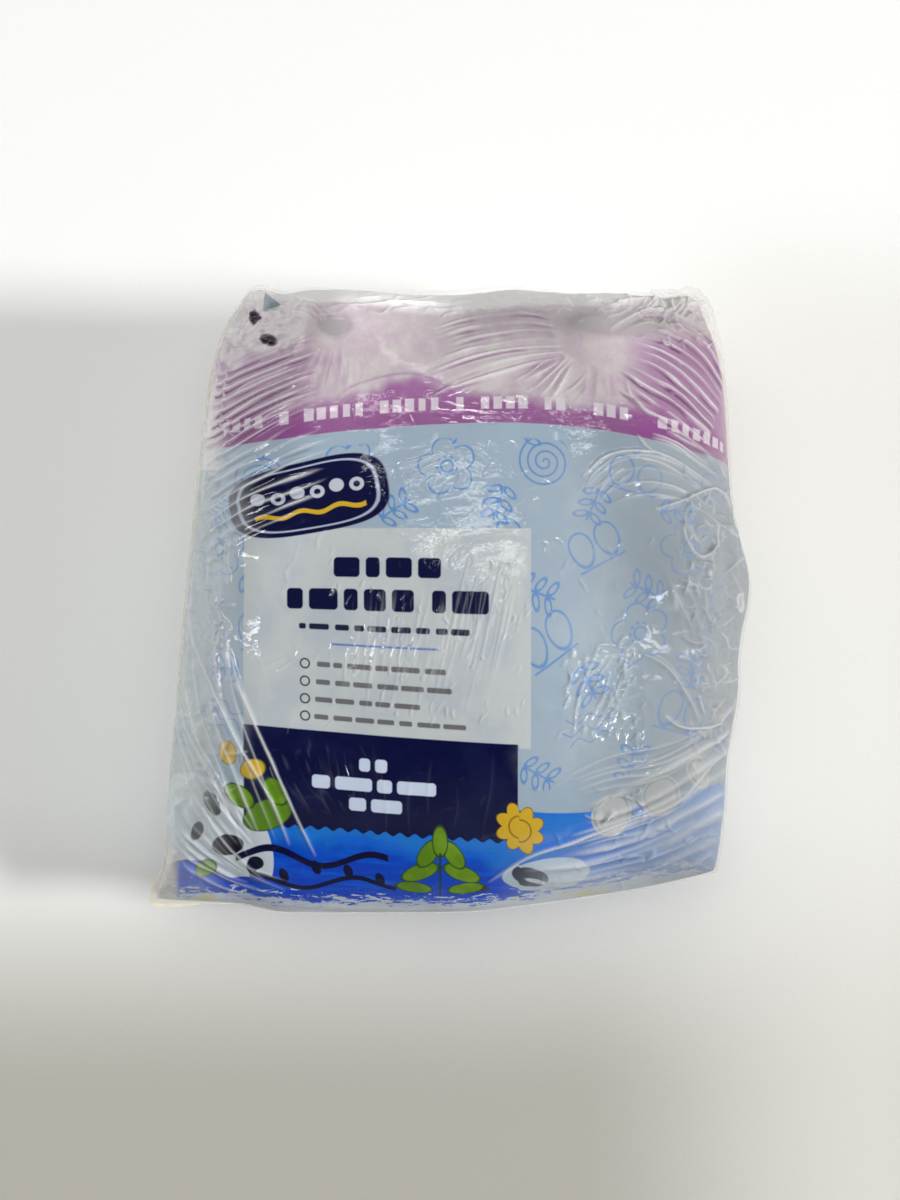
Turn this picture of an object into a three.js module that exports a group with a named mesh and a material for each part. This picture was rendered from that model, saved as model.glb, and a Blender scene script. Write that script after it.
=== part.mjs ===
// A small whole bird sealed in a shrink-film pack, lying on its back with the printed side up.
// Millimetres, +Z up. +Y points to the leg end of the pack, +X to the right as it is seen from above.
// The pack is one closed solid: a front sheet and a back sheet that meet along the perimeter seam.
import * as THREE from 'three';

// ---------------------------------------------------------------- driving dimensions, mm
const LEG_END = 81.6; //            from the pack's middle to the leg end
const NECK_END = 77.0; //           from the pack's middle to the neck end
const LEFT_AT_LEGS = 62.3; //       half width on the left, near the leg end
const LEFT_AT_NECK = 71.6; //       half width on the left, near the neck end
const RIGHT_HALF = 72.6; //         half width on the right
const RIGHT_SWELL = 3.8; //         outward swell at the middle of the right side
const RIGHT_NARROWING = 3.4; //     how far the right side draws in at the neck end
const CROWN = 78.0; //              highest point of the front, above the floor
const SHOULDER = 69.0; //           height of the front away from the breast
const SEAM_SIDE = 36.0; //          height of the perimeter seam at the sides
const SEAM_LEGS = 43.0; //          height of the seam at the leg end
const SEAM_NECK = 19.0; //          height of the seam at the neck end
const REST_SPOT = 0.92; //          share of the underside's crown that lies flat on the floor
const BREAST = { x: 22, y: -22, rx: 40, ry: 42 };
const LEG_KNOBS = [
  { x: -29, y: 70, r: 9.5, rise: 4.6 },
  { x: 36, y: 67, r: 12.0, rise: 6.0 },
];
// drumsticks and wings press the film outward along these lines
const LIMBS = [
  { from: [-30, 66], to: [-49, 8], r: 13, rise: 3.6 },
  { from: [37, 62], to: [56, 2], r: 13, rise: 3.4 },
  { from: [58, -6], to: [52, -44], r: 12, rise: 2.4 },
  { from: [-54, -8], to: [-50, -46], r: 13, rise: 2.2 },
];
const LEG_HOLLOW = { x: 2, y: 74, rx: 15, ry: 13, sink: 4.5 };
const CORNER_CUT = { leftLegs: 0.07, rightLegs: 0.08, leftNeck: 0.015, rightNeck: 0.05 };
// pointed film ears: where they sit on the perimeter, how far they stand out, how wide they are
const EARS = [
  { x: 63, y: 78, dx: 0.8, dy: 2.4, dz: 3.0, reach: 5.0 },
  { x: -50, y: 79, dx: -0.6, dy: 2.2, dz: 4.5, reach: 4.5 },
  { x: -71, y: -74, dx: -3.4, dy: -0.4, dz: -2.0, reach: 6.0 },
  { x: 67, y: -67, dx: 1.4, dy: -0.4, dz: -3.0, reach: 6.0 },
];
// sheets: cells across the width and along the length of each
const CELLS_X = 50;
const CELLS_Y = 46;

// ---------------------------------------------------------------- small helpers
const clamp = (v, a, b) => Math.min(b, Math.max(a, v));
const smooth = (a, b, v) => {
  const t = clamp((v - a) / (b - a), 0, 1);
  return t * t * (3 - 2 * t);
};
const bell = (v, w) => Math.exp(-(v / w) * (v / w));
const mix = (a, b, t) => a + (b - a) * t;
const hash = (n) => {
  const s = Math.sin(n * 12.9898 + 4.1414) * 43758.5453;
  return s - Math.floor(s);
};

function distanceTo([ax, ay], [bx, by], x, y) {
  const lx = bx - ax;
  const ly = by - ay;
  const t = clamp(((x - ax) * lx + (y - ay) * ly) / (lx * lx + ly * ly), 0, 1);
  return Math.hypot(x - ax - lx * t, y - ay - ly * t);
}

// ---------------------------------------------------------------- the outline seen from above
// p runs from -1 at the left side to 1 at the right, q from -1 at the neck end to 1 at the leg end
function plan(p, q) {
  const ym = (LEG_END - NECK_END) / 2;
  const yh = (LEG_END + NECK_END) / 2;
  const y0 = ym + yh * q;
  const left = -mix(LEFT_AT_NECK, LEFT_AT_LEGS, (q + 1) / 2);
  const right =
    RIGHT_HALF + RIGHT_SWELL * bell(y0 - 1, 15) - RIGHT_NARROWING * (1 - smooth(-52, -28, y0));
  // rounded corners: each corner draws the sheet in towards the middle
  const cut =
    p < 0
      ? mix(CORNER_CUT.leftNeck, CORNER_CUT.leftLegs, (q + 1) / 2)
      : mix(CORNER_CUT.rightNeck, CORNER_CUT.rightLegs, (q + 1) / 2);
  const pp = p * (1 - cut * Math.abs(q) ** 8);
  const qq = q * (1 - cut * Math.abs(p) ** 8);
  const x = mix(left, right, (pp + 1) / 2);
  const legs = LEG_END + 1.4 * bell(x - 16, 10) + 1.2 * bell(x + 38, 8) - 1.0 * bell(x - 34, 8);
  const neck = -NECK_END + 6.6 * smooth(-4, 66, x) + 2.0 * (1 - smooth(-54, -42, x));
  const y = mix(neck, legs, (qq + 1) / 2);
  return [x, y];
}

// height of the perimeter seam: level along the sides, higher at the leg end, low at the neck end
function seamHeight(p, q) {
  const a = Math.abs(p) ** 4;
  const b = Math.abs(q) ** 4;
  return mix(SEAM_SIDE, q > 0 ? SEAM_LEGS : SEAM_NECK, (b * b) / (a * a + b * b + 0.02));
}

function frontHeight(p, q, x, y) {
  const zs = seamHeight(p, q);
  const np = p < 0 ? 3.0 : 3.8;
  const nq = q < 0 ? 3.8 : 3.4;
  const dome = Math.sqrt(Math.max(0, (1 - Math.abs(p) ** np) * (1 - Math.abs(q) ** nq)));
  const body =
    SHOULDER + (CROWN - SHOULDER) * bell(x - BREAST.x, BREAST.rx) * bell(y - BREAST.y, BREAST.ry);
  let z = zs + (body - zs) * dome;
  const hold = smooth(0, 0.35, dome);
  for (const k of LEG_KNOBS) {
    z += k.rise * Math.exp(-(((x - k.x) / k.r) ** 2 + ((y - k.y) / (k.r * 0.9)) ** 2)) * hold;
  }
  for (const l of LIMBS) z += l.rise * bell(distanceTo(l.from, l.to, x, y), l.r) * hold;
  z -=
    LEG_HOLLOW.sink *
    Math.exp(-(((x - LEG_HOLLOW.x) / LEG_HOLLOW.rx) ** 2 + ((y - LEG_HOLLOW.y) / LEG_HOLLOW.ry) ** 2)) *
    hold;
  return z;
}

function backHeight(p, q) {
  const zs = seamHeight(p, q);
  const dome = Math.sqrt(Math.max(0, (1 - Math.abs(p) ** 3.2) * (1 - Math.abs(q) ** 3.2)));
  const t = clamp(dome / REST_SPOT, 0, 1);
  return zs * (1 - t) ** 1.35;
}

// ---------------------------------------------------------------- folds of the film
// A fold is a bent ridge in plan: start, end, sideways bow, half width, height.
function foldFamily({ from, to, count, bow, width, rise, jitter = 0.35, seed = 1 }) {
  const folds = [];
  for (let i = 0; i < count; i++) {
    const t = count === 1 ? 0.5 : i / (count - 1);
    const j = (k) => (hash(seed * 31 + i * 7 + k) - 0.5) * 2 * jitter;
    const ax = mix(from[0][0], from[1][0], t) + j(1) * 2;
    const ay = mix(from[0][1], from[1][1], t) + j(2) * 2;
    const bx = mix(to[0][0], to[1][0], t) + j(3) * 3;
    const by = mix(to[0][1], to[1][1], t) + j(4) * 3;
    const bw = mix(bow[0], bow[1], t);
    const len = Math.hypot(bx - ax, by - ay);
    const nx = -(by - ay) / len;
    const ny = (bx - ax) / len;
    const mx = (ax + bx) / 2 + nx * bw;
    const my = (ay + by) / 2 + ny * bw;
    const pts = [];
    for (let s = 0; s <= 14; s++) {
      const u = s / 14;
      pts.push([
        (1 - u) * (1 - u) * ax + 2 * u * (1 - u) * mx + u * u * bx,
        (1 - u) * (1 - u) * ay + 2 * u * (1 - u) * my + u * u * by,
      ]);
    }
    folds.push({ pts, width, rise: rise * (1 + j(5) * 0.6) });
  }
  return folds;
}

const FOLDS = [
  // pleats that run from the left leg knob out to the left side
  ...foldFamily({ from: [[-38, 72], [-33, 57]], to: [[-58, 64], [-59, 22]], count: 7, bow: [1.5, 4], width: 2.1, rise: 2.2, seed: 2 }),
  // pleats between the two leg knobs
  ...foldFamily({ from: [[23, 66], [29, 54]], to: [[-4, 62], [12, 44]], count: 4, bow: [2, 1], width: 2.1, rise: 1.9, seed: 3 }),
  // pleats that sweep from the right leg knob down the right side
  ...foldFamily({ from: [[49, 67], [42, 55]], to: [[70, 52], [62, 38]], count: 5, bow: [3.5, 1.5], width: 2.0, rise: 2.1, seed: 4 }),
  // long tension folds on the lower left
  ...foldFamily({ from: [[-63, 6], [-60, -30]], to: [[-30, -66], [-52, -70]], count: 4, bow: [-4, -3], width: 2.2, rise: 2.1, seed: 5 }),
  // folds that fan out across the lower right
  ...foldFamily({ from: [[10, -67], [30, -72]], to: [[68, -34], [67, -62]], count: 6, bow: [4, 2], width: 2.3, rise: 2.3, seed: 6 }),
  // two slack curved folds at the upper right
  ...foldFamily({ from: [[34, 26], [52, 18]], to: [[69, 24], [68, 20]], count: 2, bow: [6, 2], width: 2.2, rise: 2.2, seed: 7 }),
];

function foldRise(x, y) {
  let h = 0;
  for (const f of FOLDS) {
    let best = Infinity;
    let along = 0;
    for (let s = 0; s + 1 < f.pts.length; s++) {
      const [ax, ay] = f.pts[s];
      const [bx, by] = f.pts[s + 1];
      const lx = bx - ax;
      const ly = by - ay;
      const t = clamp(((x - ax) * lx + (y - ay) * ly) / (lx * lx + ly * ly), 0, 1);
      const dist = Math.hypot(x - ax - lx * t, y - ay - ly * t);
      if (dist < best) {
        best = dist;
        along = (s + t) / (f.pts.length - 1);
      }
    }
    const taper = Math.sin(Math.PI * clamp(along, 0.02, 0.98)) ** 0.5;
    h = Math.max(h, f.rise * taper * bell(best, f.width));
  }
  return h;
}

// ---------------------------------------------------------------- the two sheets, one closed body
function earPush(v) {
  let dx = 0;
  let dy = 0;
  let dz = 0;
  for (const e of EARS) {
    const w = Math.exp(-(((v.x - e.x) / e.reach) ** 2 + ((v.y - e.y) / e.reach) ** 2));
    dx += e.dx * w;
    dy += e.dy * w;
    dz += e.dz * w;
  }
  return new THREE.Vector3(dx, dy, dz);
}

function packGeometry() {
  const nx = CELLS_X;
  const ny = CELLS_Y;
  // cells bunch towards the perimeter, where the sheets turn down
  const spread = (i, n) => {
    const s = (2 * i) / n - 1;
    return Math.sin((Math.PI / 2) * s) * 0.5 + s * 0.5;
  };
  const verts = [];
  const front = [];
  const back = [];
  const rim = (i, j) => i === 0 || j === 0 || i === nx || j === ny;
  for (let j = 0; j <= ny; j++) {
    front.push([]);
    back.push([]);
    for (let i = 0; i <= nx; i++) {
      const p = spread(i, nx);
      const q = spread(j, ny);
      const [x, y] = plan(p, q);
      const inside = smooth(0, 0.14, Math.min(1 - Math.abs(p), 1 - Math.abs(q)));
      const v = new THREE.Vector3(x, y, rim(i, j) ? seamHeight(p, q) : frontHeight(p, q, x, y));
      v.z += inside * foldRise(x, y);
      const w = earPush(v);
      v.add(w);
      front[j].push(verts.push(v) - 1);
      if (rim(i, j)) {
        back[j].push(front[j][i]);
      } else {
        const b = new THREE.Vector3(x, y, backHeight(p, q));
        const e = earPush(b);
        b.x += e.x;
        b.y += e.y;
        back[j].push(verts.push(b) - 1);
      }
    }
  }
  // stand the pack on the floor with its outline centred on the origin
  const box = new THREE.Box3().setFromPoints(verts);
  const cx = (box.min.x + box.max.x) / 2;
  const cy = (box.min.y + box.max.y) / 2;
  const positions = [];
  for (const v of verts) positions.push(v.x - cx, v.y - cy, v.z - box.min.z);
  const index = [];
  for (let j = 0; j < ny; j++) {
    for (let i = 0; i < nx; i++) {
      const a = front[j][i];
      const b = front[j][i + 1];
      const c = front[j + 1][i + 1];
      const d = front[j + 1][i];
      // the diagonal leans with the nearer corner, so that no triangle lies wholly in the rim
      const same = i < nx / 2 === j < ny / 2;
      if (same) index.push(a, b, c, a, c, d);
      else index.push(a, b, d, b, c, d);
      const e = back[j][i];
      const f = back[j][i + 1];
      const g = back[j + 1][i + 1];
      const h = back[j + 1][i];
      if (same) index.push(e, g, f, e, h, g);
      else index.push(e, h, f, f, h, g);
    }
  }
  const geometry = new THREE.BufferGeometry();
  geometry.setAttribute('position', new THREE.Float32BufferAttribute(positions, 3));
  geometry.setIndex(index);
  geometry.computeVertexNormals();
  return geometry;
}

const filmPack = new THREE.Mesh(
  packGeometry(),
  new THREE.MeshStandardMaterial({ color: 0xaebfd0, roughness: 0.25, metalness: 0.0 }),
);
filmPack.name = 'film_pack';

const pack = new THREE.Group();
pack.add(filmPack);

export default pack;
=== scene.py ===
"""A small whole bird sealed in a printed shrink-film pack, lying on its back with the printed side up.

The film is modelled as displaced sheets over the CAD solid's own form: a front sheet in four bands, a back
sheet, crimped side seams, a top hem and pointed film ears. The print is drawn by nodes in film coordinates.
Lengths in the form are millimetres and are scaled to metres when the meshes are made. Film coordinates and the
places of folds are in units of the 900 x 1200 view, which are about a quarter of a millimetre on the pack.
"""
import math

import bpy
import numpy as np
from mathutils import Matrix, Vector


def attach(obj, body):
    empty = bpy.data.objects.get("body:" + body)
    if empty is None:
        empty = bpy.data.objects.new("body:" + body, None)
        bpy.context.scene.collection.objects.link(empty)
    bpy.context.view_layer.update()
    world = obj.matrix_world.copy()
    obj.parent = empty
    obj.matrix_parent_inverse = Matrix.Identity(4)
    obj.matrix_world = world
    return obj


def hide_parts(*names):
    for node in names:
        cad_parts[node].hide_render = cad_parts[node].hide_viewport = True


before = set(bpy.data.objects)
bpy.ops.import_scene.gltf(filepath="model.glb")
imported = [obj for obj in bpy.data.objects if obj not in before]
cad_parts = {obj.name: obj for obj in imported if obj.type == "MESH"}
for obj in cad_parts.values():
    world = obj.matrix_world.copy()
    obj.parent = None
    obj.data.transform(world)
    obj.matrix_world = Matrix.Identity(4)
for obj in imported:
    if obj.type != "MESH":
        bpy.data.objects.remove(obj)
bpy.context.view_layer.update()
MM = 0.001

# ------------------------------------------------------------------ form of the pack, mm (the CAD solid's form)
LEG_END, NECK_END = 81.6, 77.0
LEFT_AT_LEGS, LEFT_AT_NECK = 62.3, 71.6
RIGHT_HALF, RIGHT_SWELL, RIGHT_NARROWING = 72.6, 3.8, 3.4
CROWN, SHOULDER = 78.0, 69.0
SEAM_SIDE, SEAM_LEGS, SEAM_NECK = 36.0, 43.0, 19.0
REST_SPOT = 0.92
BREAST = (22, -22, 40, 42)
LEG_KNOBS = ((-29, 70, 9.5, 4.6), (36, 67, 12.0, 6.0))
LIMBS = (((-30, 66), (-49, 8), 13, 3.6), ((37, 62), (56, 2), 13, 3.4), ((58, -6), (52, -44), 12, 2.4), ((-54, -8), (-50, -46), 13, 2.2))
LEG_HOLLOW = (2, 74, 15, 13, 4.5)
CUT_LEFT_LEGS, CUT_RIGHT_LEGS, CUT_LEFT_NECK, CUT_RIGHT_NECK = 0.07, 0.08, 0.015, 0.05
EARS = ((63, 78, 0.8, 2.4, 3.0, 5.0), (-50, 79, -0.6, 2.2, 4.5, 4.5), (-71, -74, -3.4, -0.4, -2.0, 6.0), (67, -67, 1.4, -0.4, -3.0, 6.0))


def smooth(a, b, v):
    t = np.clip((v - a) / (b - a), 0, 1)
    return t * t * (3 - 2 * t)


def bell(v, w):
    return np.exp(-((v / w) ** 2))


def mix(a, b, t):
    return a + (b - a) * t


def seg_dist(a, b, x, y):
    lx, ly = b[0] - a[0], b[1] - a[1]
    t = np.clip(((x - a[0]) * lx + (y - a[1]) * ly) / (lx * lx + ly * ly), 0, 1)
    return np.hypot(x - a[0] - lx * t, y - a[1] - ly * t)


def plan(p, q):
    ym, yh = (LEG_END - NECK_END) / 2, (LEG_END + NECK_END) / 2
    y0 = ym + yh * q
    left = -mix(LEFT_AT_NECK, LEFT_AT_LEGS, (q + 1) / 2)
    right = RIGHT_HALF + RIGHT_SWELL * bell(y0 - 1, 15) - RIGHT_NARROWING * (1 - smooth(-52, -28, y0))
    cut = np.where(p < 0, mix(CUT_LEFT_NECK, CUT_LEFT_LEGS, (q + 1) / 2), mix(CUT_RIGHT_NECK, CUT_RIGHT_LEGS, (q + 1) / 2))
    pp = p * (1 - cut * np.abs(q) ** 8)
    qq = q * (1 - cut * np.abs(p) ** 8)
    x = mix(left, right, (pp + 1) / 2)
    legs = LEG_END + 1.4 * bell(x - 16, 10) + 1.2 * bell(x + 38, 8) - 1.0 * bell(x - 34, 8)
    neck = -NECK_END + 6.6 * smooth(-4, 66, x) + 2.0 * (1 - smooth(-54, -42, x))
    return x, mix(neck, legs, (qq + 1) / 2)


def seam_height(p, q):
    a, b = np.abs(p) ** 4, np.abs(q) ** 4
    return mix(SEAM_SIDE, np.where(q > 0, SEAM_LEGS, SEAM_NECK), (b * b) / (a * a + b * b + 0.02))


def front_height(p, q, x, y):
    zs = seam_height(p, q)
    n_p, n_q = np.where(p < 0, 3.0, 3.8), np.where(q < 0, 3.8, 3.4)
    dome = np.sqrt(np.maximum(0, (1 - np.abs(p) ** n_p) * (1 - np.abs(q) ** n_q)))
    body = SHOULDER + (CROWN - SHOULDER) * bell(x - BREAST[0], BREAST[2]) * bell(y - BREAST[1], BREAST[3])
    z = zs + (body - zs) * dome
    hold = smooth(0, 0.35, dome)
    for kx, ky, r, rise in LEG_KNOBS:
        z = z + rise * np.exp(-(((x - kx) / r) ** 2 + ((y - ky) / (r * 0.9)) ** 2)) * hold
    for a, b, r, rise in LIMBS:
        z = z + rise * bell(seg_dist(a, b, x, y), r) * hold
    hx, hy, rx, ry, sink = LEG_HOLLOW
    return z - sink * np.exp(-(((x - hx) / rx) ** 2 + ((y - hy) / ry) ** 2)) * hold


def back_height(p, q):
    zs = seam_height(p, q)
    dome = np.sqrt(np.maximum(0, (1 - np.abs(p) ** 3.2) * (1 - np.abs(q) ** 3.2)))
    return zs * (1 - np.clip(dome / REST_SPOT, 0, 1)) ** 1.35


def ears(P, lift=1.0):
    """Pulls the corners out, and up by lift times their rise."""
    out = P.copy()
    for ex, ey, dx, dy, dz, reach in EARS:
        w = np.exp(-(((P[..., 0] - ex) / reach) ** 2 + ((P[..., 1] - ey) / reach) ** 2))
        out[..., 0] += dx * w
        out[..., 1] += dy * w
        out[..., 2] += lift * dz * w
    return out


def cad_offset():
    """Where the CAD solid's outline is centred, from its own coarse perimeter."""
    def spread(n):
        s = np.arange(n + 1) * 2 / n - 1
        return np.sin(np.pi / 2 * s) * 0.5 + s * 0.5
    p, q = np.meshgrid(spread(50), spread(46))
    x, y = plan(p, q)
    P = ears(np.stack([x, y, seam_height(p, q)], -1))
    return (P[..., 0].min() + P[..., 0].max()) / 2, (P[..., 1].min() + P[..., 1].max()) / 2


OX, OY = cad_offset()

# ------------------------------------------------------------------ the view: the camera's own figures
TILT, DISTANCE, UNIT = math.radians(14), 440.0, 0.255
AIM = np.array([0.0, 0.0, 40.0])
LOOK = np.array([0, math.sin(TILT), -math.cos(TILT)])
UPWARD = np.array([0, math.cos(TILT), math.sin(TILT)])
EYE = AIM - LOOK * DISTANCE
FOCAL = DISTANCE / UNIT


def view_units(P):
    """Film points, mm in the form's own frame, to units of the 900 x 1200 view."""
    d = P - EYE
    w = d @ LOOK
    return 450 + FOCAL * d[..., 0] / w, 600 - FOCAL * (d @ UPWARD) / w


# ------------------------------------------------------------------ seeded noise
def lattice(ix, iy, iz, seed):
    h = (ix.astype(np.int64) * 374761393 + iy.astype(np.int64) * 668265263 + iz.astype(np.int64) * 1440662683 + seed * 974634777) & 0xFFFFFFFF
    h = ((h ^ (h >> 13)) * 1274126177) & 0xFFFFFFFF
    h = ((h ^ (h >> 15)) * 2246822519) & 0xFFFFFFFF
    return ((h ^ (h >> 16)) & 0xFFFFFF) / float(0xFFFFFF)


def vnoise(P, size, seed):
    """Smooth value noise, -1 to 1, with features about size across (a number or one per axis)."""
    q = P / np.asarray(size, float) + seed * 7.31
    i = np.floor(q).astype(np.int64)
    f = q - i
    f = f * f * f * (f * (f * 6 - 15) + 10)
    out = 0
    for cx in (0, 1):
        wx = f[..., 0] if cx else 1 - f[..., 0]
        for cy in (0, 1):
            wy = f[..., 1] if cy else 1 - f[..., 1]
            for cz in (0, 1):
                wz = f[..., 2] if cz else 1 - f[..., 2]
                out = out + wx * wy * wz * lattice(i[..., 0] + cx, i[..., 1] + cy, i[..., 2] + cz, seed)
    return out * 2 - 1


def fractal(P, size, seed, octaves=3, fall=0.5):
    out, amp, total = 0, 1.0, 0
    for k in range(octaves):
        out = out + amp * vnoise(P, np.asarray(size, float) / 2**k, seed + k)
        total += amp
        amp *= fall
    return out / total


def creased(P, size, seed, octaves=2):
    """Facets that meet in sharp creases, 0 to 1, as in crumpled film."""
    out, amp, total = 0, 1.0, 0
    for k in range(octaves):
        out = out + amp * (1 - np.abs(vnoise(P, np.asarray(size, float) / 1.9**k, seed + 11 * k)))
        total += amp
        amp *= 0.5
    return out / total


# ------------------------------------------------------------------ folds of the film, in view units
def through(points, n=14):
    """A smooth curve through a few points."""
    p = np.asarray(points, float)
    p = np.vstack([2 * p[0] - p[1], p, 2 * p[-1] - p[-2]])
    out = []
    for k in range(len(p) - 3):
        a, b, c, d = p[k : k + 4]
        for s in np.linspace(0, 1, max(3, n // (len(p) - 3)), endpoint=False):
            out.append(0.5 * (2 * b + (c - a) * s + (2 * a - 5 * b + 4 * c - d) * s * s + (3 * b - a - 3 * c + d) * s**3))
    out.append(p[-2])
    return np.array(out)


def shorten(c, rng, trim):
    """Cuts a little off each end of a curve."""
    n = len(c) - 1
    i0 = int(rng.uniform(0, trim) * n)
    i1 = max(i0 + 3, int(round((1 - rng.uniform(0, trim)) * n)))
    return c[i0 : i1 + 1]


def sway(c, rng, by):
    """Lets a curve wander a little to either side."""
    side = np.gradient(c, axis=0)
    side = np.stack([-side[:, 1], side[:, 0]], 1) / (np.linalg.norm(side, axis=1)[:, None] + 1e-9)
    return c + side * (by * np.sin(np.linspace(0, rng.uniform(2, 8), len(c)) + rng.uniform(0, 6)))[:, None]


def family(first, last, count, rise, width, haze, seed, jitter=2.0, trim=0.15, waver=1.0, groove=0.0, ease=1.0):
    """count folds that pass in steps from the first curve to the last, each a little different, with grooves between."""
    rng = np.random.default_rng(seed)
    a, b = np.asarray(first, float), np.asarray(last, float)
    out = []
    where = [((k + 0.5 + rng.uniform(-0.2, 0.2)) / count) ** ease for k in range(count)]
    for t in where:
        c = through(a + (b - a) * t + rng.normal(0, jitter, a.shape) * 0.4, 22)
        c = sway(shorten(c, rng, trim), rng, waver)
        out.append(dict(c=c, rise=rise * rng.uniform(0.65, 1.2), width=width * rng.uniform(0.8, 1.25), haze=haze * rng.uniform(0.7, 1.15), groove=0.0))
    if groove:
        for t0, t1 in zip(where[:-1], where[1:]):
            c = through(a + (b - a) * ((t0 + t1) / 2) + rng.normal(0, jitter, a.shape) * 0.25, 22)
            c = sway(shorten(c, rng, 0.34), rng, waver)
            out.append(dict(c=c, rise=-0.5 * rise, width=width * rng.uniform(0.75, 1.15), haze=0.0, groove=groove * rng.uniform(0.25, 1.15)))
    return out


def scatter(box, count, length, rise, width, haze, seed, angle=None, spread=math.pi):
    """Short loose creases strewn over a box of the view."""
    rng = np.random.default_rng(seed)
    out = []
    for _ in range(count):
        x, y = rng.uniform(box[0], box[2]), rng.uniform(box[1], box[3])
        a = rng.uniform(0, math.pi) if angle is None else angle + rng.normal(0, spread)
        l = rng.uniform(0.5, 1.4) * length
        d = np.array([math.cos(a), math.sin(a)]) * l / 2
        bend = np.array([-d[1], d[0]]) * rng.normal(0, 0.25)
        c = through([np.array([x, y]) - d, np.array([x, y]) + bend, np.array([x, y]) + d], 8)
        out.append(dict(c=c, rise=rise * rng.uniform(0.4, 1.3), width=width * rng.uniform(0.7, 1.3), haze=haze * rng.uniform(0.3, 1.1), groove=0.0))
    return out


def one(points, rise, width, haze, groove=0.0):
    return [dict(c=through(points, 30), rise=rise, width=width, haze=haze, groove=groove)]


# In these lists haze is how white a fold's crest is: milky film along the crease, and partly painted highlight.
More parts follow.
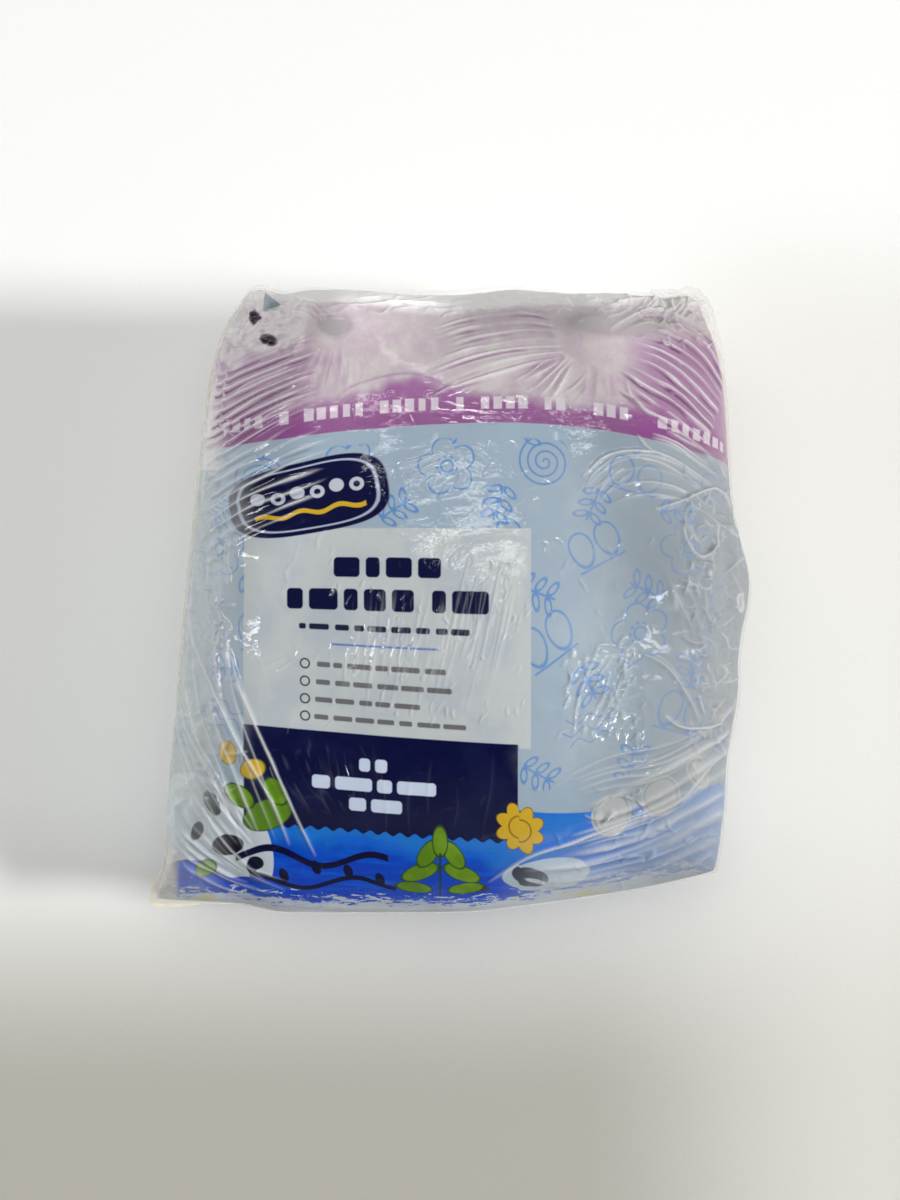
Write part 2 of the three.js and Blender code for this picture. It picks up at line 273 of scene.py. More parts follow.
FRONT_FOLDS = [
    # pleats from the left leg end out to the left side, down across the badge's end
    *family([(305, 341), (272, 355), (246, 366), (226, 382)], [(318, 404), (282, 420), (246, 442), (211, 472)], 2, 0.4, 2.4, 0.8, 1, trim=0.3, groove=0.8),
    *family([(300, 330), (284, 333), (262, 342), (240, 352)], [(312, 338), (288, 344), (262, 354), (232, 368)], 3, 0.45, 2.4, 0.7, 3, groove=0.4),
    *family([(318, 330), (302, 312), (284, 316)], [(336, 316), (320, 302), (300, 297)], 4, 0.4, 2.4, 0.6, 34, groove=0.2),
    *family([(316, 346), (304, 366), (292, 388)], [(352, 345), (354, 370), (350, 396)], 6, 0.24, 4.4, 0.12, 4, waver=0.6, groove=0.18),
    # pleats from the right leg end towards the left
    *family([(560, 352), (536, 364), (508, 378)], [(578, 362), (562, 386), (548, 410)], 5, 0.42, 3.4, 0.6, 6, groove=0.5),
    *family([(430, 392), (420, 398), (438, 402)], [(470, 380), (448, 388), (432, 398)], 2, 0.4, 2.6, 0.6, 35, groove=0.6),
    *family([(584, 362), (580, 385), (574, 404)], [(618, 366), (622, 388), (628, 404)], 4, 0.2, 5.0, 0.08, 7, waver=0.5, groove=0.16),
    # pleats from the right leg end that sweep down the right side
    *one([(626, 380), (631, 396), (644, 411), (662, 419), (684, 424)], 0.5, 3.0, 0.9, 0.0),
    *family([(660, 424), (688, 436), (712, 456)], [(646, 440), (680, 452), (722, 484)], 4, 0.55, 2.6, 0.8, 9, groove=0.5),
    *one([(612, 333), (632, 322), (652, 315), (672, 320), (694, 328)], -0.5, 3.2, 0.0, 0.22),
    *one([(608, 330), (630, 317), (652, 310), (676, 315), (698, 324)], 0.6, 3.4, 0.7),
    *family([(650, 300), (642, 308), (636, 314)], [(694, 300), (684, 312), (676, 320)], 8, 0.3, 1.8, 0.5, 36),
    *one([(326, 307), (372, 305), (424, 303), (476, 305)], 0.45, 1.7, 0.95),
    *one([(612, 301), (640, 298), (668, 297), (690, 298)], 0.4, 1.7, 0.95),
    *one([(336, 399), (352, 387), (380, 378), (410, 374), (434, 380), (456, 392)], 0.2, 1.6, 0.0, 0.45),
    # slack curved folds at the upper right
    *one([(582, 478), (604, 458), (630, 452), (661, 456), (689, 470), (719, 492)], 0.8, 2.8, 0.95),
    *one([(600, 470), (630, 459), (660, 464), (688, 480), (716, 500)], 0.4, 2.4, 0.55),
    *one([(637, 436), (646, 448), (664, 460)], 0.5, 2.2, 0.8),
    *one([(653, 510), (677, 503), (697, 494), (713, 489), (725, 497), (731, 512)], 0.8, 2.8, 0.95),
    *one([(684, 516), (685, 538), (699, 557), (713, 549), (718, 530), (707, 511)], 0.6, 2.8, 0.8),
    *one([(690, 524), (694, 540), (704, 546)], 0.4, 2.2, 0.6),
    *family([(616, 448), (590, 472), (576, 492)], [(640, 470), (612, 492), (598, 512)], 5, 0.3, 2.0, 0.3, 10),
    # crumpled strip down the right side
    *scatter((684, 470, 748, 765), 60, 22, 0.55, 2.6, 0.6, 11),
    *scatter((690, 500, 745, 760), 40, 10, 0.4, 1.9, 0.6, 37),
    *one([(664, 716), (681, 727), (705, 727), (724, 719), (737, 698)], 0.8, 2.8, 0.95),
    *one([(640, 652), (668, 668), (690, 700), (700, 724)], 0.5, 2.8, 0.5),
    # folds that fan out over the lower right
    *family([(566, 776), (612, 754), (664, 742), (728, 716)], [(560, 806), (612, 792), (668, 778), (732, 742)], 5, 0.45, 2.8, 0.55, 12),
    *one([(488, 884), (526, 857), (571, 841), (624, 820), (671, 802), (709, 767), (726, 744)], 0.9, 3.2, 0.95),
    *family([(560, 838), (612, 816), (668, 792), (728, 752)], [(500, 890), (570, 888), (650, 872), (724, 842)], 7, 0.6, 3.6, 0.6, 13, jitter=3, groove=0.5, trim=0.3),
    *scatter((590, 790, 728, 880), 34, 20, 0.4, 2.2, 0.5, 38, angle=-0.4, spread=0.3),
    # bright crinkles over the breast
    *family([(590, 640), (568, 684), (556, 736)], [(640, 650), (622, 694), (594, 746)], 6, 0.20, 2.4, 0.25, 16, jitter=7, trim=0.35),
    *family([(584, 646), (612, 640), (644, 652)], [(592, 668), (616, 660), (646, 674)], 3, 0.20, 2.2, 0.3, 15, jitter=4, trim=0.2),
    *scatter((562, 640, 644, 740), 44, 15, 0.28, 2.3, 0.24, 17, angle=2.2, spread=0.35),
    *scatter((540, 540, 690, 640), 22, 16, 0.16, 2.0, 0.12, 18),
    # fine upright streaks over the label panel
    *family([(356, 600), (344, 660), (338, 712)], [(524, 560), (505, 640), (478, 724)], 18, 0.15, 1.8, 0.16, 19, jitter=5, trim=0.45, waver=0.8),
    *family([(470, 542), (455, 600), (446, 660)], [(530, 558), (514, 620), (498, 705)], 6, 0.15, 1.9, 0.18, 20, jitter=4, trim=0.4),
    *scatter((330, 560, 525, 722), 70, 11, 0.22, 1.5, 0.2, 21, angle=1.85, spread=0.3),
    *scatter((480, 540, 530, 640), 12, 12, 0.16, 1.8, 0.3, 39, angle=1.9, spread=0.5),
    *scatter((250, 535, 360, 725), 16, 22, 0.14, 2.0, 0.1, 22, angle=2.3, spread=0.4),
    *family([(362, 740), (368, 790), (372, 842)], [(506, 752), (500, 800), (492, 846)], 5, 0.12, 2.6, 0.02, 23, trim=0.4),
    # small crinkles below the purple band
    *family([(392, 466), (420, 458), (450, 450)], [(404, 478), (430, 472), (460, 462)], 4, 0.3, 1.9, 0.3, 24),
    *scatter((402, 436, 600, 520), 24, 14, 0.15, 1.9, 0.16, 25, angle=2.6, spread=0.5),
    *scatter((236, 384, 700, 424), 26, 12, 0.18, 1.8, 0.25, 40, angle=0.2, spread=0.5),
    # long tension folds down the lower left
    *one([(188, 590), (197, 646), (215, 690), (240, 745), (271, 798), (290, 846)], 0.8, 2.8, 0.95),
    *one([(231, 650), (239, 684), (253, 719), (274, 766), (300, 824), (316, 858)], 0.6, 2.5, 0.85),
    *family([(180, 640), (186, 700), (214, 764), (262, 838)], [(172, 720), (184, 776), (218, 838), (276, 890)], 5, 0.5, 2.4, 0.62, 26, groove=0.3, trim=0.35),
    *family([(170, 772), (190, 818), (230, 856), (292, 894)], [(164, 836), (188, 866), (232, 886), (304, 903)], 4, 0.42, 2.3, 0.5, 28, groove=0.4, trim=0.4),
    *scatter((176, 560, 240, 790), 40, 24, 0.35, 2.3, 0.45, 29, angle=1.2, spread=0.5),
    *scatter((202, 336, 230, 570), 60, 11, 0.5, 2.0, 0.65, 30, angle=0.3, spread=0.9),
    *scatter((196, 560, 222, 800), 40, 13, 0.4, 2.0, 0.5, 44, angle=1.3, spread=0.7),
    *one([(228, 336), (222, 358), (217, 384), (213, 410), (209, 440), (205, 476), (201, 516)], 0.7, 2.8, 0.95),
    *one([(234, 352), (228, 372), (224, 396), (220, 424)], 0.5, 2.2, 0.7),
    *one([(199, 540), (195, 580), (191, 624), (188, 668)], 0.5, 2.6, 0.7),
    # the hem along the neck end
    *family([(168, 888), (300, 901), (440, 906), (560, 897)], [(162, 900), (300, 910), (440, 912), (600, 896)], 3, 0.4, 2.6, 0.5, 31, jitter=3),
    *scatter((530, 770, 700, 890), 12, 20, 0.16, 2.0, 0.12, 32),
    # the crumpled corner by the tab, and the hem over the leg ends
    *scatter((222, 300, 300, 350), 60, 16, 0.6, 2.0, 0.75, 41, angle=2.7, spread=0.6),
    *scatter((300, 296, 640, 318), 60, 20, 0.35, 2.0, 0.5, 42, angle=0.05, spread=0.25),
    *scatter((640, 292, 722, 345), 60, 14, 0.5, 1.9, 0.75, 43, angle=0.8, spread=0.6),
]


def lay_folds(X, Y, folds):
    """What the folds do at each point of the view: height in mm, how white their crests are, from milky film and partly
    painted highlight; and their grooves, where the film clings clear and painted shade darkens the print.
    """
    shape = X.shape
    x, y = X.ravel(), Y.ravel()
    h, crest, groove_cling_and_shade = np.zeros(x.size), np.zeros(x.size), np.zeros(x.size)
    for f in folds:
        c, w = f["c"], f["width"]
        reach = w * 3.4
        near = np.flatnonzero((x > c[:, 0].min() - reach) & (x < c[:, 0].max() + reach) & (y > c[:, 1].min() - reach) & (y < c[:, 1].max() + reach))
        if not near.size:
            continue
        px, py = x[near], y[near]
        best, along = np.full(px.size, 1e9), np.zeros(px.size)
        n = len(c) - 1
        for k in range(n):
            ax, ay = c[k]
            lx, ly = c[k + 1] - c[k]
            t = np.clip(((px - ax) * lx + (py - ay) * ly) / (lx * lx + ly * ly + 1e-9), 0, 1)
            d = np.hypot(px - ax - lx * t, py - ay - ly * t)
            closer = d < best
            best = np.where(closer, d, best)
            along = np.where(closer, (k + t) / n, along)
        taper = np.sin(np.pi * np.clip(along, 0.0, 1.0)) ** 0.6
        r = best / w
        h[near] += f["rise"] * taper * np.maximum(0, 1 - r / 1.7) ** 1.6
        crest[near] = np.maximum(crest[near], f["haze"] * taper * np.exp(-6.0 * r * r))
        if f["groove"] > 0:
            groove_cling_and_shade[near] = np.maximum(groove_cling_and_shade[near], f["groove"] * taper * np.exp(-((r / 0.85) ** 2)))
    return h.reshape(shape), crest.reshape(shape), groove_cling_and_shade.reshape(shape)


# Patches of pleats, in view units: each runs from its first curve to its last, with so many pleats across and so much
# change along them; their height in mm, how white their crests are (milky film, partly painted highlight), how strongly
# their grooves cling clear and are darkened by painted shade, and how milky they are all over. Regular ones run side by
# side, loose ones split, merge and wander.
def patch(first, last, pleats, along, rise, white, groove, seed, soft=0.16, veil=0.0, loose=False, crisp=0.9, start=None, end=None):
    span = np.linalg.norm(np.asarray(first, float) - np.asarray(last, float), axis=1).mean() / pleats
    return dict(first=first, last=last, pleats=pleats, along=along, rise=rise, white=white, groove=groove, seed=seed, soft=soft, start=soft if start is None else start, end=soft if end is None else end, veil=veil, loose=loose, crisp=0.0432 * (span * (1.5 if loose else 1.0) / crisp * 0.9) ** 2)


PLEATS = [
    # fans over the leg ends
    patch([(328, 326), (286, 341), (250, 352), (216, 364)], [(338, 404), (290, 424), (248, 448), (200, 482)], 11, 1.6, 0.55, 0.95, 1.0, 1, 0.07, 0.06, start=0.20, end=0.04, crisp=1.1),
    patch([(342, 398), (292, 414), (248, 438), (200, 470)], [(334, 512), (282, 532), (242, 550), (196, 580)], 9, 1.8, 0.40, 0.9, 0.7, 2, 0.14, start=0.26, end=0.05, crisp=1.0),
    patch([(566, 316), (516, 306), (470, 308), (404, 326)], [(582, 364), (530, 374), (476, 390), (408, 414)], 8, 1.6, 0.55, 0.8, 0.9, 3, 0.13, 0.03, start=0.14, end=0.2, crisp=1.5),
    patch([(562, 346), (530, 362), (496, 382)], [(612, 372), (594, 398), (572, 426)], 6, 1.6, 0.26, 0.35, 0.5, 4, 0.2, start=0.3, end=0.3),
    patch([(642, 312), (684, 318), (710, 336), (728, 372)], [(606, 388), (634, 412), (668, 436), (708, 466)], 11, 1.6, 0.55, 0.95, 1.0, 5, 0.06, start=0.2, end=0.04, crisp=1.1),
    patch([(296, 352), (312, 376), (300, 408)], [(368, 346), (372, 372), (362, 400)], 7, 1.2, 0.10, 0.10, 0.05, 22, 0.3),
    # left side: a few long crisp lines over smooth film
    patch([(238, 590), (246, 690), (270, 770), (306, 866)], [(172, 590), (176, 690), (204, 790), (250, 890)], 6, 1.2, 0.30, 0.68, 0.10, 6, 0.2, 0.02, start=0.2, end=0.16),
    patch([(250, 510), (240, 556), (238, 610)], [(186, 500), (178, 556), (172, 610)], 6, 2.0, 0.22, 0.5, 0.1, 7, 0.2, start=0.3, end=0.3),
    patch([(184, 744), (208, 814), (256, 862), (330, 884)], [(156, 850), (188, 882), (240, 902), (330, 912)], 5, 2.0, 0.34, 0.5, 0.3, 15, 0.16, start=0.16, end=0.30),
    # lower right: broad bands of loose film over the blue
    patch([(566, 806), (608, 782), (666, 752), (738, 706)], [(506, 898), (582, 894), (656, 880), (730, 852)], 7, 1.6, 0.66, 0.72, 0.5, 8, 0.10, 0.24, crisp=2.3, start=0.26, end=0.05),
    patch([(600, 770), (650, 750), (690, 730), (744, 690)], [(560, 812), (610, 800), (664, 782), (740, 744)], 3, 1.6, 0.45, 0.6, 0.2, 23, 0.24, 0.16, crisp=2.4, start=0.4, end=0.05),
    # right side: wide, wavering folds
    patch([(684, 500), (688, 560), (686, 640), (676, 730)], [(752, 490), (760, 560), (762, 640), (752, 740)], 4, 3.6, 0.65, 0.8, 0.1, 9, 0.2, 0.12, True),
    patch([(620, 560), (660, 620), (690, 720)], [(700, 500), (730, 600), (744, 700)], 5, 2.4, 0.36, 0.45, 0.0, 24, 0.25, 0.06, True),
    patch([(572, 474), (616, 446), (668, 452), (730, 492)], [(588, 530), (630, 508), (684, 512), (740, 548)], 5, 1.4, 0.36, 0.6, 0.0, 16, 0.25, 0.05, start=0.3, end=0.1),
    # label: fine upright streaks
    patch([(346, 560), (338, 650), (322, 730)], [(540, 530), (524, 640), (500, 730)], 44, 3.0, 0.055, 0.24, 0.0, 10, 0.12, loose=True, start=0.3, end=0.3),
    patch([(240, 728), (262, 780), (300, 830)], [(380, 728), (390, 780), (400, 830)], 22, 2.4, 0.04, 0.03, 0.0, 19, 0.2, loose=True),
    patch([(402, 440), (424, 458), (462, 484)], [(482, 430), (528, 450), (584, 486)], 10, 3.0, 0.07, 0.12, 0.0, 20, 0.3, loose=True),
    patch([(236, 330), (420, 392), (600, 396), (710, 400)], [(236, 440), (420, 430), (600, 432), (710, 452)], 6, 12.0, 0.08, 0.12, 0.28, 21, 0.25, loose=True),
    # hems and corners
    patch([(160, 884), (300, 902), (440, 905), (600, 892), (724, 850)], [(150, 910), (300, 920), (440, 921), (600, 908), (728, 880)], 4, 7.0, 0.26, 0.5, 0.2, 11, 0.2, loose=True),
    patch([(296, 286), (420, 286), (540, 284), (650, 290)], [(296, 318), (420, 316), (540, 314), (650, 322)], 4, 5.0, 0.35, 0.8, 0.0, 12, 0.2, loose=True),
    patch([(630, 304), (658, 292), (694, 292), (722, 318)], [(612, 336), (648, 326), (684, 334), (714, 362)], 6, 2.4, 0.45, 0.9, 0.2, 13, loose=True),
    patch([(300, 290), (262, 300), (214, 330)], [(312, 340), (262, 352), (214, 376)], 7, 2.6, 0.55, 0.95, 0.5, 17, loose=True),
]


def lay_pleats(X, Y, patches):
    """Pleats: height in mm; the cosine and sine of the place within a pleat, whose crest is at 0; how narrow the crest
    is and how white, from milky film and partly painted highlight; the grooves, where the film clings clear and painted
    shade darkens the print; milkiness all over."""
    shape = X.shape
    x, y = X.ravel(), Y.ravel()
    cos_, sin_, weight, narrow = (np.zeros(x.size) for _ in range(4))
    h, white, groove_cling_and_shade, veil = (np.zeros(x.size) for _ in range(4))
    for f in patches:
        a, b = through(f["first"], 60), through(f["last"], 60)
        both = np.vstack([a, b])
        near = np.flatnonzero((x > both[:, 0].min() - 4) & (x < both[:, 0].max() + 4) & (y > both[:, 1].min() - 4) & (y < both[:, 1].max() + 4))
        px, py = x[near], y[near]
        g = np.linspace(0, 1, len(a))
        d = b - a
        da, dd = np.gradient(a, g, axis=0), np.gradient(d, g, axis=0)
        s, t = np.full(px.size, 0.5), np.full(px.size, 0.5)
        for _ in range(16):
            dx, dy = np.interp(s, g, d[:, 0]), np.interp(s, g, d[:, 1])
            fx, fy = np.interp(s, g, a[:, 0]) + dx * t - px, np.interp(s, g, a[:, 1]) + dy * t - py
            jx, jy = np.interp(s, g, da[:, 0]) + np.interp(s, g, dd[:, 0]) * t, np.interp(s, g, da[:, 1]) + np.interp(s, g, dd[:, 1]) * t
            det = jx * dy - jy * dx
            det = np.where(np.abs(det) < 1e-6, 1e-6, det)
            s = np.clip(s - np.clip((fx * dy - fy * dx) / det, -0.25, 0.25), -0.05, 1.05)
            t = np.clip(t - np.clip((jx * fy - jy * fx) / det, -0.25, 0.25), -0.05, 1.05)
        inside = np.hypot(fx, fy) < 1.5
        k = f["soft"]
        late = np.stack([t * f["pleats"] * 1.1, 0 * s, 0 * s + 3.0 * f["seed"]], -1)
        late, early = 0.5 + 0.5 * vnoise(late, 1.0, f["seed"] + 130), 0.5 + 0.5 * vnoise(late, 1.0, f["seed"] + 170)
        w = smooth(0, k, t) * smooth(0, k, 1 - t) * smooth(f["start"] * late, f["start"] * (late + 1.0), s) * smooth(f["end"] * early, f["end"] * (early + 1.0), 1 - s) * inside
        c = np.stack([t * f["pleats"], s * f["along"], 0 * s + 5.0 * f["seed"]], -1)
        drift = vnoise(c, (1.6, 0.9, 1.0), f["seed"]) + 0.5 * vnoise(c, (0.7, 0.5, 1.0), f["seed"] + 50)
        turn = drift * 0.9 if f["loose"] else c[:, 0] + drift * 0.28
        shine = smooth(-0.45, 0.4, vnoise(c * (1.0, 1.6, 1.0), 1.0, f["seed"] + 90))
        strong = w * (0.35 + 0.65 * shine)
        cc, ss = np.cos(2 * np.pi * turn), np.sin(2 * np.pi * turn)
        cos_[near] += cc * w
        sin_[near] += ss * w
        weight[near] += w
        narrow[near] += f["crisp"] * w
        h[near] += f["rise"] * strong * ((0.5 + 0.5 * cc) ** 1.6 + 0.16 * ss)
        white[near] = np.maximum(white[near], f["white"] * strong)
        # Painted shade: the groove lies on one side of each crest, the side turned from the light.
        dip = smooth(0.55, 1.0, cc * -0.56 + ss * 0.83)
        spots = smooth(-0.15, 0.45, vnoise(c * (1.0, 2.4, 1.0), 1.0, f["seed"] + 210))
        groove_cling_and_shade[near] = np.maximum(groove_cling_and_shade[near], f["groove"] * strong * dip * (0.2 + 0.8 * spots))
        veil[near] = np.maximum(veil[near], f["veil"] * w * (0.4 + 0.9 * smooth(-0.9, 0.9, cc)) * (0.5 + 0.5 * shine))
    safe = np.maximum(weight, 0.05)
    length = np.maximum(np.hypot(cos_, sin_), 0.05)
    back = [v.reshape(shape) for v in (h, cos_ / length, sin_ / length, narrow / safe, white * np.minimum(1, length / safe * 1.5), groove_cling_and_shade, veil)]
    return back


# ------------------------------------------------------------------ the dense sheets
def even_steps(n, depth, wall=1.0):
    """n + 1 values from -1 to 1, evenly spaced along the curve of a domed section; wall below 1 thins out its sides."""
    s = np.sin(np.linspace(0, np.pi / 2, 4001))
    x, z = 73 * s, wall * depth * np.sqrt(1 - s**3.3)
    run = np.concatenate([[0], np.cumsum(np.hypot(np.diff(x), np.diff(z)))])
    half = np.interp(np.linspace(0, run[-1], n // 2 + 1), run, s)
    return np.concatenate([-half[:0:-1], half])


def normals_of(P):
    du, dv = np.gradient(P, axis=1), np.gradient(P, axis=0)
    n = np.cross(du, dv)
    return n / (np.linalg.norm(n, axis=-1, keepdims=True) + 1e-12)


def blur(a, rounds):
    """A soft average over neighbours of a grid, edges kept."""
    for _ in range(rounds):
        b = a.copy()
        b[1:-1] = (a[:-2] + 2 * a[1:-1] + a[2:]) / 4
        c = b.copy()
        c[:, 1:-1] = (b[:, :-2] + 2 * b[:, 1:-1] + b[:, 2:]) / 4
        a = c
    return a


def film_coordinates(P, X, Y):
    """Where each point lies on the printed film, in view units: as seen in the facing parts, by arc length on the walls."""
    step = np.linalg.norm(np.diff(P, axis=1), axis=2) / UNIT
    mid = X.shape[1] // 2
    dX = np.diff(X, axis=1)
    run = np.maximum(dX, 0.8 * step)
    U = np.empty_like(X)
    U[:, mid] = X[:, mid]
    U[:, mid + 1 :] = X[:, mid : mid + 1] + np.cumsum(run[:, mid:], axis=1)
    U[:, :mid] = X[:, mid : mid + 1] - np.cumsum(run[:, :mid][:, ::-1], axis=1)[:, ::-1]
    step = np.linalg.norm(np.diff(P, axis=0), axis=2) / UNIT
    mid = Y.shape[0] // 2
    run = np.maximum(-np.diff(Y, axis=0), 0.8 * step)
    V = np.empty_like(Y)
    V[mid] = Y[mid]
    V[mid + 1 :] = Y[mid] - np.cumsum(run[mid:], axis=0)
    V[:mid] = Y[mid] + np.cumsum(run[:mid][::-1], axis=0)[::-1]
    return U, V


def straighten(U, V):
    """Takes the sag of the print out of V, so that its straight edges are straight in the material."""
    top = np.where(U < 500, 25 * np.abs((500 - U) / 274) ** 2, 37 * np.abs((U - 500) / 211) ** 2.2)
    low = np.where(U < 519, 26 * np.sin(np.clip((U - 244) / 276, -0.35, 1)), 26 - 32 * smooth(530, 720, U)) * 0.97
    return V - np.minimum(top, 60) * (1 - smooth(430, 545, V)) - low * smooth(530, 726, V)


def haze_map(U, V, X, Y, loose):
    """How milky the film is over the print: clear where it clings, milky where it stands off."""
    P = np.stack([X, Y, 0 * X], -1)
    n1, n2, n3 = fractal(P, 70, 40), fractal(P, 26, 44), fractal(P, 9, 48)
    h = np.full(X.shape, 0.004)
    # the light field left and right of the label
    h = np.maximum(h, 0.26 * smooth(436, 480, Y) * (1 - smooth(766, 800, Y)) * smooth(492, 600, X + 16 * n2) * (1 + 0.8 * n2))
    h = np.maximum(h, 0.42 * smooth(570, 690, X) * smooth(430, 470, Y))
    h = np.maximum(h, 0.72 * smooth(672 + 12 * n2, 722, X) * smooth(440, 500, Y) * (1 - smooth(740, 800, Y) * 0.4))
    h = np.maximum(h, 0.78 * (1 - smooth(198, 238, X + 8 * n2)) * smooth(425, 470, Y) * (1 - smooth(760, 830, Y) * 0.6))
    h = np.maximum(h, 0.38 * (1 - smooth(228, 260, X + 6 * n2)) * smooth(425, 470, Y) * (1 - smooth(720, 780, Y)))
    # the band over the leg ends: milky on the knobs and above them, clear where the film clings below an arched line
    arch = 388 - 17 * bell(X - 410, 46) + 4 * bell(X - 520, 40) + 10 * bell(X - 575, 42) + 3 * n2 + 2 * n3
    band = 0.80 - 0.68 * smooth(arch - 3, arch + 14, V)
    knobs = np.maximum(bell(X - 592, 46) * bell(Y - 345, 40), bell(X - 335, 30) * bell(Y - 340, 40))
    band = np.maximum(band, 0.84 * knobs)
    pleat = np.maximum(0.80 * smooth(344, 290, X + 12 * n2) * smooth(330, 366, Y), 1.25 * smooth(608, 660, X + 12 * n2) * smooth(324, 350, Y))
    band = np.where(V < 424, band * (1 - 0.54 * pleat), 0)
    band = np.maximum(band, 0.66 * (1 - smooth(212, 236, X)) * (V < 424))
    h = np.maximum(h, band)
    # lower right: printed blue dulled by loose film
    h = np.maximum(h, 0.54 * smooth(576, 680, X + 10 * n2) * smooth(786, 818, Y))
    h = np.maximum(h, 0.46 * smooth(500, 600, X + 10 * n2) * smooth(840, 876, Y))
    # the thin hem along the neck end
    hem = 905 - 16 * (1 - smooth(190, 262, X)) - 20 * smooth(500, 620, X) - 20 * smooth(640, 724, X)
    h = np.maximum(h, (0.60 + 0.1 * n1) * smooth(hem - 4, hem + 9, Y + 4 * n3))
    # lower left corner
    h = np.maximum(h, 0.80 * (1 - smooth(168, 190, X + 5 * n2)) * smooth(780, 850, Y))
    h = h * (1 + 0.20 * n1 + 0.22 * n2 + 0.15 * n3)
    # walls that the camera hardly sees; the one at the neck end is tight and clear
    tight = smooth(190, 226, X) * (1 - smooth(480, 570, X)) * smooth(800, 840, Y)
    h = np.maximum(h, 0.42 * loose * (1 - tight))
    h = np.maximum(h, 0.62 * smooth(668, 708, X + 6 * n2) * smooth(770, 816, Y))
    return np.clip(h, 0.003, 0.90)


def bare_map(X, Y):
    """Where clear film has no print behind it, the hem over the leg ends, the hood and the tab corner, and how pale it
    is: painted shade makes it grey under the hood.
    """
    P = np.stack([X, Y, 0 * X], -1)
    n2 = fractal(P, 26, 60)
    line = 309 - 5 * smooth(440, 300, X) + 4 * bell(X - 450, 60) + 3 * n2
    b = 1 - smooth(line - 5, line + 5, Y)
    hood = np.maximum(bell(X - 622, 66) * bell(Y - 322, 15), bell(X - 335, 19) * bell(Y - 325, 12))
    b = np.maximum(b, np.clip(hood * 1.5, 0, 1))
    b = np.maximum(b, (1 - smooth(210, 232, X + 4 * n2)) * (Y > 330) * (Y < 470))
    b = np.maximum(b, (1 - smooth(0, 14, np.hypot((X - 262) / 1.3, Y - 314) - 34 + 5 * n2)) * 0.92)
    b = np.maximum(b, (1 - smooth(0, 12, np.hypot((X - 690) / 1.5, Y - 306) - 16 + 5 * n2)) * 0.8)
    b = np.maximum(b, (1 - smooth(0, 14, np.hypot(X - 232, (Y - 346) / 1.3) - 12 + 5 * n2)) * 0.8)
    b = np.maximum(b, (1 - smooth(172, 186, X + 3 * n2)) * smooth(838, 866, Y) * 0.9)
    # Painted shade: grey under the hood; below the hem line the film is also a little greyer than on the hem.
    pale = np.clip(1.0 - 1.35 * hood - 0.30 * smooth(line - 4, line + 12, Y), 0, 1)
    return np.clip(b, 0, 1), pale


def crumple_zone(X, Y):
    """Where the film is slack and crumpled: 1 in the loose strips, near 0 over the label."""
    z = 0.08 + 0.9 * smooth(676, 735, X) * smooth(470, 520, Y) * (1 - smooth(740, 810, Y) * 0.8)
    z = np.maximum(z, 0.75 * (1 - smooth(196, 238, X)) * smooth(330, 420, Y))
    z = np.maximum(z, 0.4 * (1 - smooth(200, 262, X)) * smooth(600, 700, Y))
    z = np.maximum(z, 0.20 * smooth(560, 660, X) * smooth(770, 830, Y))
    z = np.maximum(z, 0.8 * smooth(640, 705, X) * (1 - smooth(318, 372, Y)))
    z = np.maximum(z, 0.9 * (1 - smooth(250, 320, X)) * (1 - smooth(318, 350, Y)))
    z = np.maximum(z, 0.5 * bell(X - 606, 60) * bell(Y - 688, 60))
    z = np.maximum(z, 0.25 * smooth(872, 900, Y))
    return z


